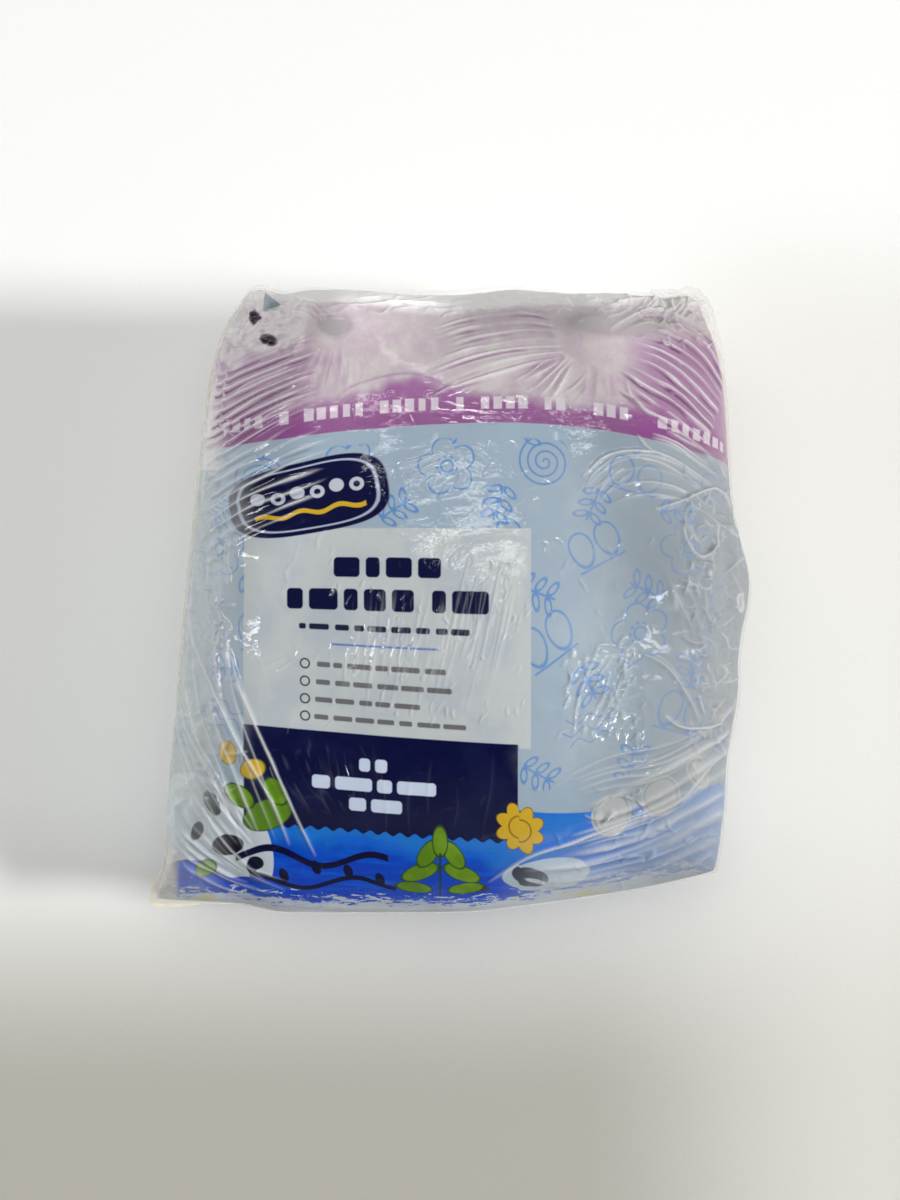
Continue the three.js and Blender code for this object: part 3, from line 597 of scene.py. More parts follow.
def build_front(columns, rows):
    p, q = np.meshgrid(even_steps(columns, 40, 0.45), even_steps(rows, 42, 0.45))
    x, y = plan(p, q)
    base = ears(np.stack([x, y, front_height(p, q, x, y)], -1))
    X, Y = view_units(base)
    U, V = film_coordinates(base, X, Y)
    W = straighten(U, V)
    n = normals_of(base)
    near_rim = smooth(0, 0.05, 1 - np.abs(p)) * smooth(0, 0.05, 1 - np.abs(q))
    steep = 1 - smooth(0.25, 0.75, n[..., 2])
    slack = crumple_zone(X, Y)
    slack = np.maximum(slack, 0.7 * steep * (1 - smooth(780, 840, Y) * 0.7))
    fold_h, fold_crest_white_and_highlight, fold_groove_cling_and_shade = lay_folds(X, Y, FRONT_FOLDS)
    broad = 0.55 * fractal(base, 24, 3, 2)
    medium = slack * (0.85 * (creased(base, (9, 7, 9), 5, 3) - 0.72) * 2.0 + 0.35 * fractal(base, 6, 8, 2))
    fine = (0.06 + 0.3 * slack) * 0.22 * (creased(base, (3.2, 2.4, 3.2), 9, 2) - 0.72)
    pleat_h, pleat_cos, pleat_sin, pleat_narrow, pleat_white_and_highlight, pleat_groove_cling_and_shade, pleat_veil = lay_pleats(X, Y, PLEATS)
    lift = ((fold_h + pleat_h) * (0.45 + 0.55 * near_rim) + (broad + medium + fine) * near_rim)
    P = base + n * lift[..., None]
    crest = np.clip((creased(base, (9, 7, 9), 5, 3) - 0.86) * 6, 0, 1) * slack
    haze = haze_map(U, W, X, Y, steep)
    haze = np.clip(haze + pleat_veil * (1 - haze), 0, 0.95)
    bare, pale = bare_map(X, Y)
    haze = np.maximum(haze, 0.94 * bare)
    # Painted shade: two dark pockets in the crumpled film by the tab corner, where the film is clear and the print is
    # drawn near black.
    dark_pocket_shade = 1 - smooth(0.75, 1.2, np.abs(X - 255 + 0.1 * (Y - 318)) / 6.6 + np.abs(Y - 318) / 8.4)
    dark_pocket_shade = np.maximum(dark_pocket_shade, 1 - smooth(0.7, 1.15, np.hypot((X - 270 - 0.3 * (Y - 341)) / 8.4, (Y - 341) / 6.2)))
    haze, bare = haze * (1 - dark_pocket_shade), bare * (1 - dark_pocket_shade)
    milk = 0.5 * crest * (1 - dark_pocket_shade)
    fold_crest_white_and_highlight, pleat_white_and_highlight = fold_crest_white_and_highlight * (1 - dark_pocket_shade), pleat_white_and_highlight * (1 - dark_pocket_shade)
    loose = np.clip(slack + 0.3 * np.abs(fold_h), 0, 1)
    # Painted shade: the film's colours are made greyer and darker towards the right side.
    right_side_painted_shade = smooth(550, 704, U)
    return dict(P=P, n=normals_of(P), film=np.stack([U, W, 0 * U], -1), haze=haze, bare=bare, pale=pale, right_side_painted_shade=right_side_painted_shade, milk=milk, crest=fold_crest_white_and_highlight, pleat_cos=pleat_cos, pleat_narrow=pleat_narrow, pleat_white_and_highlight=pleat_white_and_highlight, groove_cling_and_shade=np.maximum(np.clip(np.maximum(fold_groove_cling_and_shade, pleat_groove_cling_and_shade), 0, 1), 2.0 * dark_pocket_shade), loose=loose, X=X, Y=Y)


def build_back(columns, rows, front):
    p, q = np.meshgrid(even_steps(columns, 40), even_steps(rows, 38))
    x, y = plan(p, q)
    base = ears(np.stack([x, y, back_height(p, q)], -1), lift=smooth(0.86, 1.0, np.maximum(np.abs(p), np.abs(q))))
    # film coordinates run on from the front's side rims, all the way under the pack
    step = np.linalg.norm(np.diff(base, axis=1), axis=2) / UNIT
    run = np.concatenate([np.zeros((rows + 1, 1)), np.cumsum(step, axis=1)], axis=1)
    fr, fU, fW = front["rows"], front["film"][..., 0], front["film"][..., 1]
    qv = q[:, 0]
    left_u, left_w = np.interp(qv, fr, fU[:, 0]), np.interp(qv, fr, fW[:, 0])
    right_w = np.interp(qv, fr, fW[:, -1])
    U = left_u[:, None] - run
    W = left_w[:, None] + (right_w - left_w)[:, None] * (run / run[:, -1:])
    n = -normals_of(base)
    near_rim = smooth(0, 0.06, 1 - np.abs(p)) * smooth(0, 0.06, 1 - np.abs(q))
    wall = smooth(0.8, 5.0, base[..., 2])
    crease = creased(base, (11, 9, 10), 21, 3)
    # gathers that run down the walls to the resting face
    around = np.arctan2(y, x) * 70
    gathers = creased(np.stack([around, base[..., 2] * 0.25, 0 * x], -1), (6.5, 14, 9), 31, 2) - 0.72
    lift = wall * near_rim * (1.25 * (crease - 0.72) + 1.2 * gathers + 0.5 * fractal(base, 22, 23, 2)) + 0.12 * (creased(base, (5, 4, 5), 25, 2) - 0.7) * near_rim
    P = base + n * lift[..., None]
    P[..., 2] = np.maximum(P[..., 2], 0.02)
    haze = np.clip(0.42 + 0.12 * fractal(base, 24, 26) + 0.12 * fractal(base, 9, 27), 0.1, 0.9)
    for side, column in ((-1, 0), (1, -1)):
        rim = np.interp(qv, fr, front["haze"][:, column])[:, None]
        haze = mix(haze, rim, smooth(0.5, 1.0, side * p))
    bare = 0.94 * smooth(0.84, 1.0, q + 0.03 * fractal(base, 14, 29))
    haze = np.maximum(haze, bare)
    # Painted shade: the back sheet too is made darker towards the right.
    right_side_painted_shade = smooth(0.2, 1.0, p)
    milk = np.clip((crease - 0.84) * 5, 0, 0.7) + np.clip((gathers + 0.72 - 0.86) * 5, 0, 0.6)
    return dict(P=P, n=-normals_of(P), film=np.stack([U, W, 0 * U], -1), haze=haze, bare=bare, pale=0 * haze + 0.85, right_side_painted_shade=right_side_painted_shade, milk=np.clip(milk, 0, 1), crest=0 * haze, pleat_cos=0 * haze - 1, pleat_narrow=0 * haze + 2, pleat_white_and_highlight=0 * haze, groove_cling_and_shade=0 * haze, loose=np.clip(0.35 + 0.5 * wall, 0, 1))


# ------------------------------------------------------------------ meshes
def place(P):
    """Form coordinates in mm to the row frame in metres."""
    return (P - np.array([OX, OY, 0.0])) * MM


def grid_mesh(name, P, scalars, vectors, normals=None, flip=False, closed=False):
    rows, cols = P.shape[:2]
    index = np.arange(rows * cols).reshape(rows, cols)
    if closed:
        index = np.concatenate([index, index[:, :1]], axis=1)
    quads = np.stack([index[:-1, :-1], index[:-1, 1:], index[1:, 1:], index[1:, :-1]], -1).reshape(-1, 4)
    if flip:
        quads = quads[:, ::-1]
    mesh = bpy.data.meshes.new(name)
    mesh.vertices.add(rows * cols)
    mesh.vertices.foreach_set("co", place(P).astype(np.float32).ravel())
    mesh.loops.add(quads.size)
    mesh.loops.foreach_set("vertex_index", quads.astype(np.int32).ravel())
    mesh.polygons.add(len(quads))
    mesh.polygons.foreach_set("loop_start", np.arange(0, quads.size, 4, dtype=np.int32))
    mesh.update(calc_edges=True)
    mesh.polygons.foreach_set("use_smooth", np.ones(len(quads), bool))
    for key, v in scalars.items():
        mesh.attributes.new(key, "FLOAT", "POINT").data.foreach_set("value", np.ascontiguousarray(v, np.float32).ravel())
    for key, v in vectors.items():
        mesh.attributes.new(key, "FLOAT_VECTOR", "POINT").data.foreach_set("vector", np.ascontiguousarray(v, np.float32).ravel())
    if not closed:
        bake = mesh.uv_layers.new(name="OFBake")
        r, c = np.divmod(quads.ravel(), cols)
        uv = np.stack([0.004 + 0.992 * c / (cols - 1), 0.004 + 0.992 * r / (rows - 1)], 1)
        bake.data.foreach_set("uv", uv.astype(np.float32).ravel())
    if normals is not None:
        mesh.normals_split_custom_set_from_vertices(normals.reshape(-1, 3).astype(float).tolist())
    mesh.validate()
    obj = bpy.data.objects.new(name, mesh)
    bpy.context.scene.collection.objects.link(obj)
    return obj


# ------------------------------------------------------------------ a small language for node materials
def linear(r, g, b):
    """An 8-bit colour as linear light."""
    return tuple((c / 255 / 12.92) if c / 255 <= 0.04045 else ((c / 255 + 0.055) / 1.055) ** 2.4 for c in (r, g, b)) + (1.0,)


class Graph:
    """Builds a node tree from plain expressions."""

    def __init__(self, name):
        self.material = bpy.data.materials.new(name)
        self.material.use_nodes = True
        self.tree = self.material.node_tree
        self.tree.nodes.clear()
        self.count = 0

    def node(self, kind, **props):
        n = self.tree.nodes.new(kind)
        n.location = (-200 * (self.count % 40), -60 * (self.count // 40))
        self.count += 1
        for k, v in props.items():
            setattr(n, k, v)
        return n

    def put(self, socket, value):
        if isinstance(value, Num):
            value = value.out
        if isinstance(value, bpy.types.NodeSocket):
            self.tree.links.new(value, socket)
        else:
            socket.default_value = value

    def math(self, operation, *values, clamp=False):
        n = self.node("ShaderNodeMath", operation=operation, use_clamp=clamp)
        for i, v in enumerate(values):
            self.put(n.inputs[i], v)
        return Num(self, n.outputs[0])

    def ramp(self, v, a, b, lo=0.0, hi=1.0, kind="SMOOTHSTEP"):
        """lo up to a, hi from b on; b may be below a."""
        n = self.node("ShaderNodeMapRange", interpolation_type=kind, clamp=True)
        if isinstance(a, (int, float)) and isinstance(b, (int, float)) and b < a:
            a, b, lo, hi = b, a, hi, lo
        for i, x in enumerate((v, a, b, lo, hi)):
            self.put(n.inputs[i], x)
        return Num(self, n.outputs[0])

    def vec(self, x, y, z=0.0):
        n = self.node("ShaderNodeCombineXYZ")
        for i, v in enumerate((x, y, z)):
            self.put(n.inputs[i], v)
        return n.outputs[0]

    def split(self, vector):
        n = self.node("ShaderNodeSeparateXYZ")
        self.put(n.inputs[0], vector)
        return [Num(self, o) for o in n.outputs]

    def vmath(self, operation, a, b=None, scale=None):
        n = self.node("ShaderNodeVectorMath", operation=operation)
        self.put(n.inputs[0], a)
        if b is not None:
            self.put(n.inputs[1], b)
        if scale is not None:
            self.put(n.inputs["Scale"], scale)
        return Num(self, n.outputs["Value"]) if operation in ("LENGTH", "DOT_PRODUCT", "DISTANCE") else n.outputs["Vector"]

    def noise(self, vector, scale, detail=2.0, rough=0.5, distortion=0.0, kind="FBM", colour=False):
        n = self.node("ShaderNodeTexNoise", noise_dimensions="3D", noise_type=kind, normalize=True)
        self.put(n.inputs["Vector"], vector)
        for k, v in (("Scale", scale), ("Detail", detail), ("Roughness", rough), ("Distortion", distortion)):
            self.put(n.inputs[k], v)
        return n.outputs["Color"] if colour else Num(self, n.outputs["Fac"])

    def cells(self, vector, scale, feature="F1", randomness=1.0, output="Distance"):
        n = self.node("ShaderNodeTexVoronoi", feature=feature)
        self.put(n.inputs["Vector"], vector)
        self.put(n.inputs["Scale"], scale)
        self.put(n.inputs["Randomness"], randomness)
        return Num(self, n.outputs[output]) if output == "Distance" else n.outputs[output]

    def chance(self, vector):
        n = self.node("ShaderNodeTexWhiteNoise", noise_dimensions="3D")
        self.put(n.inputs["Vector"], vector)
        return Num(self, n.outputs["Value"])

    def attribute(self, name, vector=False):
        n = self.node("ShaderNodeAttribute", attribute_type="GEOMETRY", attribute_name=name)
        return n.outputs["Vector"] if vector else Num(self, n.outputs["Fac"])

    def blend(self, factor, a, b, mode="MIX"):
        n = self.node("ShaderNodeMix", data_type="RGBA", blend_type=mode, clamp_factor=True)
        self.put(n.inputs[0], factor)
        self.put(n.inputs[6], a)
        self.put(n.inputs[7], b)
        return n.outputs[2]


class Num:
    """A number that flows through a material, with arithmetic."""

    def __init__(self, graph, out):
        self.g, self.out = graph, out

    def __add__(self, o): return self.g.math("ADD", self, o)
    def __radd__(self, o): return self.g.math("ADD", o, self)
    def __sub__(self, o): return self.g.math("SUBTRACT", self, o)
    def __rsub__(self, o): return self.g.math("SUBTRACT", o, self)
    def __mul__(self, o): return self.g.math("MULTIPLY", self, o)
    def __rmul__(self, o): return self.g.math("MULTIPLY", o, self)
    def __truediv__(self, o): return self.g.math("DIVIDE", self, o)
    def __pow__(self, o): return self.g.math("POWER", self, o)
    def __neg__(self): return self.g.math("MULTIPLY", self, -1.0)
    def __abs__(self): return self.g.math("ABSOLUTE", self)
    def low(self, o): return self.g.math("MINIMUM", self, o)
    def high(self, o): return self.g.math("MAXIMUM", self, o)
    def sin(self): return self.g.math("SINE", self)
    def floor(self): return self.g.math("FLOOR", self)
    def fract(self): return self.g.math("FRACT", self)
    def modulo(self, o): return self.g.math("FLOORED_MODULO", self, o)
    def above(self, o): return self.g.math("GREATER_THAN", self, o)
    def below(self, o): return self.g.math("LESS_THAN", self, o)


class Print:
    """Flat inks laid on one another in film coordinates (view units), each with a crisp edge."""

    def __init__(self, graph, film, ground):
        self.g, self.colour = graph, ground
        self.film = film
        self.u, self.v, _ = graph.split(film)

    def ink(self, coverage, colour):
        self.colour = self.g.blend(coverage, self.colour, colour)

    def edge(self, distance, soft=0.55):
        """1 inside (distance below 0), 0 outside."""
        return self.g.ramp(distance, -soft, soft, 1.0, 0.0, "LINEAR")

    def line(self, distance, half=0.85, soft=0.5):
        return self.g.ramp(abs(distance), half - soft, half + soft, 1.0, 0.0, "LINEAR")

    def block(self, x0, y0, x1, y1, radius=0.0, lean=0.0):
        """Distance to a box with rounded corners; lean tilts its long sides by that slope."""
        g = self.g
        cx, cy, hw, hh = (x0 + x1) / 2, (y0 + y1) / 2, (x1 - x0) / 2, (y1 - y0) / 2
        radius = max(radius, 0.6)
        p = g.vmath("SUBTRACT", g.vec(self.u, self.v - (self.u - cx) * lean) if lean else self.film, (cx, cy, 0))
        p = g.vmath("SUBTRACT", g.vmath("ABSOLUTE", p), (hw - radius, hh - radius, 0))
        return g.vmath("LENGTH", g.vmath("MAXIMUM", p, (0, 0, 0))) - radius

    def oval(self, cx, cy, rx, ry, turn=0.0):
        """Distance, nearly, to an ellipse."""
        g = self.g
        p = g.vmath("SUBTRACT", self.film, (cx, cy, 0))
        if turn:
            r = g.node("ShaderNodeVectorRotate", rotation_type="Z_AXIS")
            g.put(r.inputs["Vector"], p)
            g.put(r.inputs["Angle"], turn)
            p = r.outputs[0]
        p = g.vmath("MULTIPLY", p, (1 / rx, 1 / ry, 0))
        return (g.vmath("LENGTH", p) - 1.0) * min(rx, ry)


LIGHT_BLUE, PANEL, NAVY = linear(154, 171, 186), linear(190, 195, 196), linear(3, 7, 54)
PURPLE, PURPLE_DEEP, PALE_TYPE = linear(148, 82, 146), linear(132, 56, 130), linear(216, 206, 216)
LINE_BLUE, GROUND, GROUND_DEEP = linear(84, 134, 194), linear(24, 114, 204), linear(0, 66, 192)
YELLOW, LEAF, LEAF_DARK, FRINGE = linear(204, 166, 34), linear(88, 130, 22), linear(36, 62, 24), linear(196, 208, 222)
# SHADED_FILM_GREY is painted shade on the clear film, strongest under the hood.
MILK, MILK_WARM, MILK_COOL, SHADED_FILM_GREY = linear(202, 198, 195), linear(203, 198, 194), linear(190, 197, 200), linear(170, 167, 166)
SEAL_GREY, HUSK = linear(176, 180, 182), linear(206, 204, 150)


def motif_lines(g, pr):
    """Thin outline drawings in a brick pattern: flowers, coils, pairs of ovals and waves, turned at random. Returns their distance."""
    cw, ch = 94.0, 82.0
    row = ((pr.v - 14.0) / ch).floor()
    across = (pr.u + 20.0) / cw + row.modulo(2.0) * 0.5
    column = across.floor()
    lx, ly = (across - column - 0.5) * cw, ((pr.v - 14.0) / ch - row - 0.5) * ch
    pick, turn, size = g.chance(g.vec(column, row, 1.0)), g.chance(g.vec(column, row, 5.0)), g.chance(g.vec(column, row, 9.0))
    r = g.node("ShaderNodeVectorRotate", rotation_type="Z_AXIS")
    g.put(r.inputs["Vector"], g.vec(lx + (size - 0.5) * 12.0, ly + (turn - 0.5) * 10.0))
    g.put(r.inputs["Angle"], (turn - 0.5) * 1.3)
    x, y, _ = g.split(r.outputs[0])
    rad = g.vmath("LENGTH", r.outputs[0])
    ang = g.math("ARCTAN2", y, x)
    # a five-petalled flower with an eye and a collar
    petal = 19.0 + abs((ang * 2.5).sin()) ** 0.75 * 10.0
    flower = abs(rad - petal).low(abs(rad - 6.0)).low(abs(rad - 10.0) + ((ang * 9.0).sin().below(0.0)) * 9.0)
    best = flower + pick.above(0.27) * 60.0
    # a coil
    turnn = (rad / 8.0 - ang / (2 * math.pi)).fract()
    coil = abs(turnn - 0.5) * 8.0 + (rad - 27.0).high(0.0)
    best = best.low(coil + (pick.below(0.27) + pick.above(0.5)).low(1.0) * 60.0)
    # two ovals side by side on a short base line
    ox, oy = (abs(x) - 14.0) / 11.5, (y + 2.0) / (17.0 + y * 0.12)
    ovals = abs((ox * ox + oy * oy) ** 0.5 - 1.0) * 11.5
    base = abs(y - 20.0) + (abs(x) - 24.0).high(0.0)
    best = best.low(ovals.low(base) + (pick.below(0.5) + pick.above(0.76)).low(1.0) * 60.0)
    # sprigs of three small leaves between the larger drawings
    row2 = ((pr.v + 27.0) / ch).floor()
    across2 = (pr.u + 20.0) / cw + row2.modulo(2.0) * 0.5
    column2 = across2.floor()
    spin = g.chance(g.vec(column2, row2, 3.0))
    q = g.node("ShaderNodeVectorRotate", rotation_type="Z_AXIS")
    g.put(q.inputs["Vector"], g.vec((across2 - column2 - 0.5) * cw + (spin - 0.5) * 14.0, ((pr.v + 27.0) / ch - row2 - 0.5) * ch))
    g.put(q.inputs["Angle"], spin * 6.28)
    sx, sy, _ = g.split(q.outputs[0])
    stem = abs(sx) + (abs(sy - 3.0) - 17.0).high(0.0)
    leaf_x, leaf_y = abs(sx) - 7.6, (sy + 16.5).modulo(13.0) - 6.5
    leaf = abs(((leaf_x / 6.4) ** 2.0 + ((leaf_y + leaf_x * 0.4) / 3.4) ** 2.0) ** 0.5 - 1.0) * 3.6 + (abs(sy - 3.0) - 19.4).high(0.0) * 4.0
    best = best.low(stem.low(leaf))
    # three short waves
    k = g.math("ROUND", y / 11.0).low(1.0).high(-1.0)
    wave = abs(y - k * 11.0 - (x * 0.26 + k * 1.6).sin() * 3.6) + (abs(x) - 27.0 + abs(k) * 6.0).high(0.0)
    return best.low(wave + pick.below(0.76) * 60.0)


def draw_print(g, film, right_side_painted_shade):
    """The whole printed design in film coordinates. Returns the ink colour."""
    pr = Print(g, film, LIGHT_BLUE)
    u, v = pr.u, pr.v
    # Painted shade: the light blue is darker towards the right side.
    pr.ink(right_side_painted_shade, linear(138, 153, 166))
    mottle = g.noise(film, 0.02, 3.0, 0.6)
    # light field with fine outline drawings
    lines = motif_lines(g, pr)
    field = g.ramp(v, 436.0, 440.0) * g.ramp(v, 768.0, 764.0)
    pr.ink(pr.line(lines, 0.95) * field * 0.92, LINE_BLUE)
    # blue ground, darker and streaked further down
    ground = g.blend(g.ramp(v + mottle * 40.0 - g.ramp(u, 450.0, 590.0) * 70.0, 842.0, 872.0), GROUND, GROUND_DEEP)
    streak = g.noise(g.vmath("MULTIPLY", film, (0.012, 0.09, 0)), 1.0, 3.0, 0.6)
    ground = g.blend(g.ramp(streak, 0.46, 0.66) * 0.6, ground, linear(4, 98, 220))
    ground = g.blend(g.ramp(u, 572.0, 684.0) * 0.8, ground, linear(102, 148, 206))
    shore = v - 789.0 - g.math("SINE", u * 0.021 + 1.0) * 6.0 - g.ramp(u, 560.0, 700.0) * 4.0
    pr.ink(pr.edge(-shore), ground)
    # pale rounded hill at the left with dark round stones
    foot = v - 880.0 - g.math("SINE", u * 0.09) * 4.0 + g.ramp(u, 250.0, 190.0) * 12.0
    pr.ink(pr.edge(pr.oval(186, 862, 88, 84, 0.25)) * pr.edge(-(v - 766.0)) * pr.edge(foot), linear(200, 211, 219))
    for cx, cy, rx, ry, a in ((212, 806, 8, 13, 0.5), (228, 846, 16, 10, 0.2), (196, 836, 6, 10, -0.4), (256, 862, 8, 7, 0.1)):
        pr.ink(pr.edge(pr.oval(cx, cy, rx, ry, a)), linear(10, 15, 36))
    # navy ribbons that wave across the foot of the label
    for y0, w, ph, x0, x1 in ((853, 3.6, 0.4, 236, 388), (882, 3.2, 1.5, 250, 396)):
        wave = abs(v - y0 - g.math("SINE", u * 0.062 + ph) * 8.0) - w
        pr.ink(pr.edge(wave.high(abs(u - (x0 + x1) / 2) - (x1 - x0) / 2)), NAVY)
    for i in range(5):
        pr.ink(pr.edge(pr.oval(252 + i * 32, 868 + 6 * math.sin(i * 2.0), 4.5, 8.5, 0.3)), NAVY)
    # pale stones at the lower right, one dark
    pr.ink(pr.edge(pr.oval(546, 862, 44, 25, 0.12)), linear(176, 194, 208))
    pr.ink(pr.edge(pr.oval(530, 862, 19, 15, -0.5)), linear(22, 28, 62))
    pr.ink(pr.edge(pr.oval(536, 868, 12, 3.4, -0.45)), linear(190, 198, 208))
    pr.ink(pr.edge(pr.oval(481, 884, 9, 5.5, -0.3)), linear(60, 64, 84))
    # white brushed fringe at the foot
    brush = g.noise(g.vmath("MULTIPLY", film, (0.06, 0.13, 0)), 1.0, 4.0, 0.7, 0.6)
    fringe = g.ramp(v - 911.0 + (brush - 0.5) * 134.0 + g.ramp(u, 470.0, 590.0) * 28.0 + g.ramp(u, 300.0, 210.0) * 8.0, -1.0, 1.0)
    pr.ink(fringe, g.blend(g.ramp(mottle, 0.46, 0.6) * 0.7, FRINGE, linear(176, 186, 214)))
    pr.ink(g.ramp(g.noise(film, 0.03, 1.0, 0.5), 0.58, 0.62) * g.ramp(v, 900.0, 906.0) * g.ramp(u, 470.0, 560.0).high(g.ramp(u, 260.0, 210.0)), HUSK)
    # label panel, heading bars, rule and small rows
    pr.ink(pr.edge(pr.block(244, 528, 531, 724)), g.blend(g.ramp(mottle, 0.40, 0.66) * 0.5, PANEL, linear(168, 178, 190)))
    for y0, y1, blocks in ((557, 576, ((334, 360), (366, 380), (386, 412), (418, 441))), (587, 607, ((287, 303), (309, 338), (344, 358), (364, 386), (392, 414), (432, 446), (452, 489)))):
        for x0, x1 in blocks:
            pr.ink(pr.edge(pr.block(x0, y0, x1, y1, 4.0)), NAVY)
    small = linear(26, 30, 58)
    for x0, x1 in ((299, 306), (309, 329), (335, 349), (354, 364), (367, 386), (391, 411), (416, 430), (436, 448), (451, 470)):
        pr.ink(pr.edge(pr.block(x0, 620.5, x1, 626.0, 2.0)), small)
    pr.ink(pr.edge(pr.block(331, 638.2, 441, 640.2, 0.8)), linear(96, 122, 186))
    ink = linear(66, 58, 62)
    for row, (y0, words) in enumerate(((656, ((317, 330), (333, 342), (347, 372), (375, 388), (391, 420), (425, 446))), (673, ((316, 330), (335, 350), (353, 372), (377, 398), (401, 424), (427, 452))), (690, ((315, 332), (335, 354), (359, 372), (375, 390), (394, 420))), (707, ((314, 328), (333, 352), (355, 374), (377, 394), (399, 412), (417, 440), (443, 466))))):
        pr.ink(pr.line(pr.oval(305, y0 + 3.0, 4.4, 4.4), 0.8), ink)
        for x0, x1 in words:
            pr.ink(pr.edge(pr.block(x0, y0 + 0.5, x1, y0 + 5.5, 1.8)) * 0.8, ink)
    # navy block with a scalloped foot and pale bars
    scallop = g.math("SINE", u * 0.42) * 1.9
    block = pr.block(244, 724, 518, 828)
    pr.ink(pr.edge(block.high(v - 822.0 - scallop)), g.blend(g.ramp(mottle, 0.42, 0.66) * 0.25, NAVY, linear(26, 34, 82)))
    for x0, y0, x1, y1 in ((359, 748, 370, 761), (375, 748, 387, 761), (312, 768, 330, 781), (335, 768, 372, 781), (377, 768, 392, 781), (397, 768, 436, 781), (349, 788, 366, 801), (371, 788, 402, 801)):
        pr.ink(pr.edge(pr.block(x0, y0, x1, y1, 3.5)), linear(196, 208, 228))
    # green sprays of rounded leaves
    for cx, cy, rx, ry, a in ((268, 812, 25, 14, 0.45), (240, 796, 15, 9, -0.6), (276, 788, 14, 9, 2.2),
                              (420, 862, 19, 9, 0.5), (462, 862, 19, 9, -0.5), (414, 884, 17, 8, -0.15), (466, 884, 17, 8, 0.2),
                              (428, 840, 16, 8, 1.05), (454, 840, 16, 8, -1.05), (440, 826, 7, 15, 0.0), (206, 872, 10, 8, 0.4)):
        leaf = pr.oval(cx, cy, rx, ry, a)
        pr.ink(pr.edge(leaf - 1.1), LEAF_DARK)
        pr.ink(pr.edge(leaf), g.blend(g.ramp(mottle, 0.4, 0.62), LEAF, linear(112, 152, 30)))
    pr.ink(pr.edge(pr.block(439, 838, 441.4, 894, 1.0)), LEAF_DARK)
    # yellow rounds: a rosette by the label and buds at its left
    p = g.vmath("SUBTRACT", film, (520, 806, 0))
    px, py, _ = g.split(p)
    rad, ang = g.vmath("LENGTH", p), g.math("ARCTAN2", py, px)
    rosette = rad - 17.5 - abs((ang * 4.0).sin()) * 7.0
    pr.ink(pr.edge(rosette - 1.0), linear(120, 88, 20))
    pr.ink(pr.edge(rosette), YELLOW)
    pr.ink(pr.line(rad - 11.0, 0.9), linear(150, 108, 22))
    for cx, cy, rx, ry, a in ((228, 754, 8, 11, 0.2), (253, 768, 12, 9, 0.4)):
        pr.ink(pr.edge(pr.oval(cx, cy, rx, ry, a) - 1.0), linear(120, 120, 30))
        pr.ink(pr.edge(pr.oval(cx, cy, rx, ry, a)), YELLOW)
    # a rounded plaque over the label's upper left
    r = g.node("ShaderNodeVectorRotate", rotation_type="Z_AXIS")
    g.put(r.inputs["Vector"], g.vmath("SUBTRACT", film, (308, 492, 0)))
    g.put(r.inputs["Angle"], 0.17)
    bx, by, _ = g.split(r.outputs[0])
    plaque = ((abs(bx / 81.0) ** 3.2 + abs(by / 41.0) ** 3.2) ** 0.3125 - 1.0) * 41.0
    pr.ink(pr.edge(plaque), NAVY)
    pr.ink(pr.line(plaque + 5.5, 0.9), linear(170, 178, 198))
    for k, dx in enumerate((-50, -30, -10, 10, 30, 50)):
        dot = g.vmath("LENGTH", g.vec(bx - dx, by + 7.0 - 3.0 * (k % 2)))
        pr.ink(pr.edge(dot - 7.4), linear(186, 190, 202))
        if k % 2:
            pr.ink(pr.edge(dot - 3.4), NAVY)
    bar = abs(by - 17.0 - g.math("SINE", bx * 0.16) * 2.6) - 2.6
    pr.ink(pr.edge(bar.high(abs(bx) - 56.0)), YELLOW)
    # three plain discs
    for cx, cy, rx, ry, a in ((611, 800, 20, 20, 0.0), (660, 793, 19, 20, 0.3), (699, 776, 12, 19, 0.5)):
        disc = pr.oval(cx, cy, rx, ry, a)
        pr.ink(pr.edge(disc), SEAL_GREY)
        pr.ink(pr.line(disc + 3.0, 0.9), linear(146, 150, 154))
    # purple band with a row of pale bars
    purple = g.blend(g.ramp(v + mottle * 30.0, 400.0, 436.0), PURPLE, PURPLE_DEEP)
    pr.ink(pr.edge(v - 423.0), purple)
    cell = u / 12.6
    letter, word = g.chance(g.vec(cell.floor(), 3.0, 2.0)), g.chance(g.vec(cell.floor() + 7.0, 8.0, 4.0))
    rowd = (abs(cell.fract() - 0.5) * 12.6 - 3.4 - letter * 1.7).high(abs(v - 402.5) - 6.2)
    pr.ink(pr.edge(rowd) * word.above(0.2) * 0.85, PALE_TYPE)
    return pr.colour


